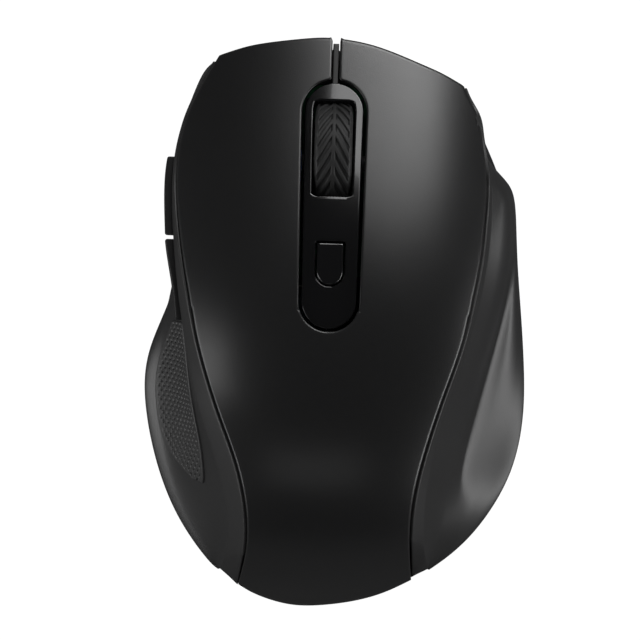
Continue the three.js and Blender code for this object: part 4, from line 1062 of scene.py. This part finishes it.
class MOUSE_OT_stage(bpy.types.Operator):
    """Makes the pale floor, the soft studio light and the camera straight above"""

    bl_idname = "mouse.stage"
    bl_label = "Stage"

    def execute(self, context):
        looks = context.scene.mouse_finishes
        scene = context.scene
        mesh = bpy.data.meshes.new("floor")
        far = FLOOR_REACH
        mesh.from_pydata([(-far, -far, 0), (far, -far, 0), (far, far, 0), (-far, far, 0)], [], [(0, 1, 2, 3)])
        floor = bpy.data.objects.new("floor", mesh)
        scene.collection.objects.link(floor)
        mesh.materials.append(floor_material(context))
        world = bpy.data.worlds.new("Studio")
        world.use_nodes = True
        scene.world = world
        world.node_tree.nodes["Background"].inputs["Color"].default_value = (1, 1, 1, 1)
        world.node_tree.nodes["Background"].inputs["Strength"].default_value = looks.fill_light
        world.cycles_visibility.glossy = False
        for light in (("front right softbox", (0.37, 1.08, 0.44), 0.02, 0.7, 0.35, looks.front_power),
                      ("front strip light", (0.3, 1.0, 0.76), 0.02, 0.5, 0.14, looks.front_power * 0.1),
                      ("rear softbox", (0.0, -0.95, 0.95), 0.02, 0.8, 0.5, looks.rear_power),
                      ("left softbox", (-1.0, 0.0, 0.75), 0.02, 0.6, 0.9, looks.left_power),
                      ("left panel", (-1.3, -0.45, 0.28), 0.05, 1.6, 0.4, looks.panel_power * 0.9),
                      ("right panel", (1.3, -0.3, 0.31), 0.05, 1.6, 0.3, looks.panel_power * 1.2)):
            area_light(*light)
        camera = bpy.data.cameras.new("Camera")
        camera.sensor_width = 36
        camera.lens = camera.sensor_width * (EYE_HEIGHT - FOCUS_HEIGHT) / VIEW_WIDTH
        camera.clip_end = 20
        eye = bpy.data.objects.new("Camera", camera)
        eye.location = ((EYE_X - CENTRE[0]) * MM, (EYE_Y - CENTRE[1]) * MM, EYE_HEIGHT)
        eye.rotation_euler = (0, 0, math.radians(EYE_TURN))
        scene.collection.objects.link(eye)
        scene.camera = eye
        scene.view_settings.view_transform = "Standard"
        return {"FINISHED"}


# ------------------------------------------------------------------ sizes and finishes a user would change
class MouseSizes(bpy.types.PropertyGroup):
    """Sizes of the visible edges and reliefs"""

    cover_edge: FloatProperty(
        name="Cover edge radius", description="Round of the cover's edges",
        default=0.0004, min=0.0001, max=0.0008, precision=5, subtype="DISTANCE", unit="LENGTH")
    shell_edge: FloatProperty(
        name="Shell edge radius", description="Round of the side shells' edges",
        default=0.0003, min=0.0001, max=0.0006, precision=5, subtype="DISTANCE", unit="LENGTH")
    strip_edge: FloatProperty(
        name="Strip edge radius", description="Round of the strip's edges",
        default=0.00025, min=0.0001, max=0.0005, precision=5, subtype="DISTANCE", unit="LENGTH")
    thumb_stand: FloatProperty(
        name="Thumb button height", description="How far the thumb buttons stand out",
        default=0.0023, min=0.0005, max=0.003, precision=5, subtype="DISTANCE", unit="LENGTH")
    thumb_swell: FloatProperty(
        name="Thumb button swell", description="Extra height in the middle of each",
        default=0.0006, min=0.0, max=0.001, precision=5, subtype="DISTANCE", unit="LENGTH")
    thumb_fall: FloatProperty(
        name="Thumb button fall", description="How much lower the back button's rear end is",
        default=0.0009, min=0.0, max=0.0015, precision=5, subtype="DISTANCE", unit="LENGTH")
    dot_pitch: FloatProperty(
        name="Grip dot pitch", description="Distance between the grip's dots",
        default=0.0012, min=0.0006, max=0.003, precision=5, subtype="DISTANCE", unit="LENGTH")
    dot_radius: FloatProperty(
        name="Grip dot radius", description="Radius of the grip's dots",
        default=0.00038, min=0.0001, max=0.001, precision=5, subtype="DISTANCE", unit="LENGTH")
    dot_depth: FloatProperty(
        name="Grip dot depth", description="Depth of the grip's dots",
        default=0.00036, min=0.0, max=0.0005, precision=5, subtype="DISTANCE", unit="LENGTH")
    tread_depth: FloatProperty(
        name="Tread depth", description="Depth of the tyre's grooves",
        default=0.0004, min=0.0001, max=0.001, precision=5, subtype="DISTANCE", unit="LENGTH")
    tread_count: IntProperty(
        name="Tread bars", description="Chevrons round the tyre", default=25, min=12, max=60)


class MouseFinishes(bpy.types.PropertyGroup):
    """Colours and roughness of the finishes, and the powers of the lights"""

    cover_colour: FloatVectorProperty(
        name="Cover", description="Cover colour", default=(0.005, 0.005, 0.0052),
        size=3, min=0, max=1, subtype="COLOR")
    cover_roughness: FloatProperty(
        name="Cover roughness", description="0 is polished, 1 is dull", default=0.3, min=0, max=1,
        subtype="FACTOR")
    shell_colour: FloatVectorProperty(
        name="Shells", description="Side shell colour", default=(0.0078, 0.0078, 0.008),
        size=3, min=0, max=1, subtype="COLOR")
    shell_roughness: FloatProperty(
        name="Shell roughness", description="0 is polished, 1 is dull", default=0.4, min=0, max=1,
        subtype="FACTOR")
    strip_colour: FloatVectorProperty(
        name="Strip", description="Strip colour", default=(0.003, 0.003, 0.0032),
        size=3, min=0, max=1, subtype="COLOR")
    button_colour: FloatVectorProperty(
        name="Buttons", description="Small button colour", default=(0.005, 0.005, 0.0052),
        size=3, min=0, max=1, subtype="COLOR")
    rubber_colour: FloatVectorProperty(
        name="Tyre", description="Tyre rubber colour", default=(0.004, 0.004, 0.0042),
        size=3, min=0, max=1, subtype="COLOR")
    grip_colour: FloatVectorProperty(
        name="Grip", description="Grip rubber colour", default=(0.012, 0.012, 0.0122),
        size=3, min=0, max=1, subtype="COLOR")
    fill_light: FloatProperty(
        name="Fill light", description="Strength of the even light from all round", default=1.0, min=0)
    front_power: FloatProperty(
        name="Front right power", description="Power of the front right softbox", default=8.6, min=0,
        unit="POWER")
    left_power: FloatProperty(
        name="Left power", description="Power of the left softbox", default=4.2, min=0,
        unit="POWER")
    rear_power: FloatProperty(
        name="Rear power", description="Power of the rear softbox", default=0.5, min=0,
        unit="POWER")
    panel_power: FloatProperty(
        name="Panel power", description="Power of the low panels at both sides", default=12.0, min=0,
        unit="POWER")
    floor_colour: FloatVectorProperty(
        name="Floor", description="Floor colour", default=(0.06, 0.06, 0.06),
        size=3, min=0, max=1, subtype="COLOR")


class MOUSE_PT_panel(bpy.types.Panel):
    """Lists the pieces of the mouse and their sizes and finishes"""

    bl_idname = "MOUSE_PT_panel"
    bl_label = "Wireless mouse"
    bl_space_type = "VIEW_3D"
    bl_region_type = "UI"
    bl_category = "Mouse"

    def draw(self, context):
        for group in (context.scene.mouse_sizes, context.scene.mouse_finishes):
            for name in group.bl_rna.properties.keys():
                if name not in ("rna_type", "name"):
                    self.layout.prop(group, name)
        for operator in OPERATORS:
            self.layout.operator(operator.bl_idname)


OPERATORS = (MOUSE_OT_stage, MOUSE_OT_cover, MOUSE_OT_side_shells, MOUSE_OT_thumb_pieces, MOUSE_OT_strip,
             MOUSE_OT_wheel, MOUSE_OT_solid_finishes)
CLASSES = (MouseSizes, MouseFinishes, *OPERATORS, MOUSE_PT_panel)


def register():
    """Registers the classes and hangs the settings on the scene."""
    for cls in CLASSES:
        bpy.utils.register_class(cls)
    bpy.types.Scene.mouse_sizes = PointerProperty(type=MouseSizes)
    bpy.types.Scene.mouse_finishes = PointerProperty(type=MouseFinishes)


def unregister():
    """Takes the settings and the classes away again."""
    del bpy.types.Scene.mouse_finishes
    del bpy.types.Scene.mouse_sizes
    for cls in reversed(CLASSES):
        bpy.utils.unregister_class(cls)


def main():
    register()
    for operator in OPERATORS:
        group, name = operator.bl_idname.split(".")
        getattr(getattr(bpy.ops, group), name)()


if __name__ == "__main__":
    main()
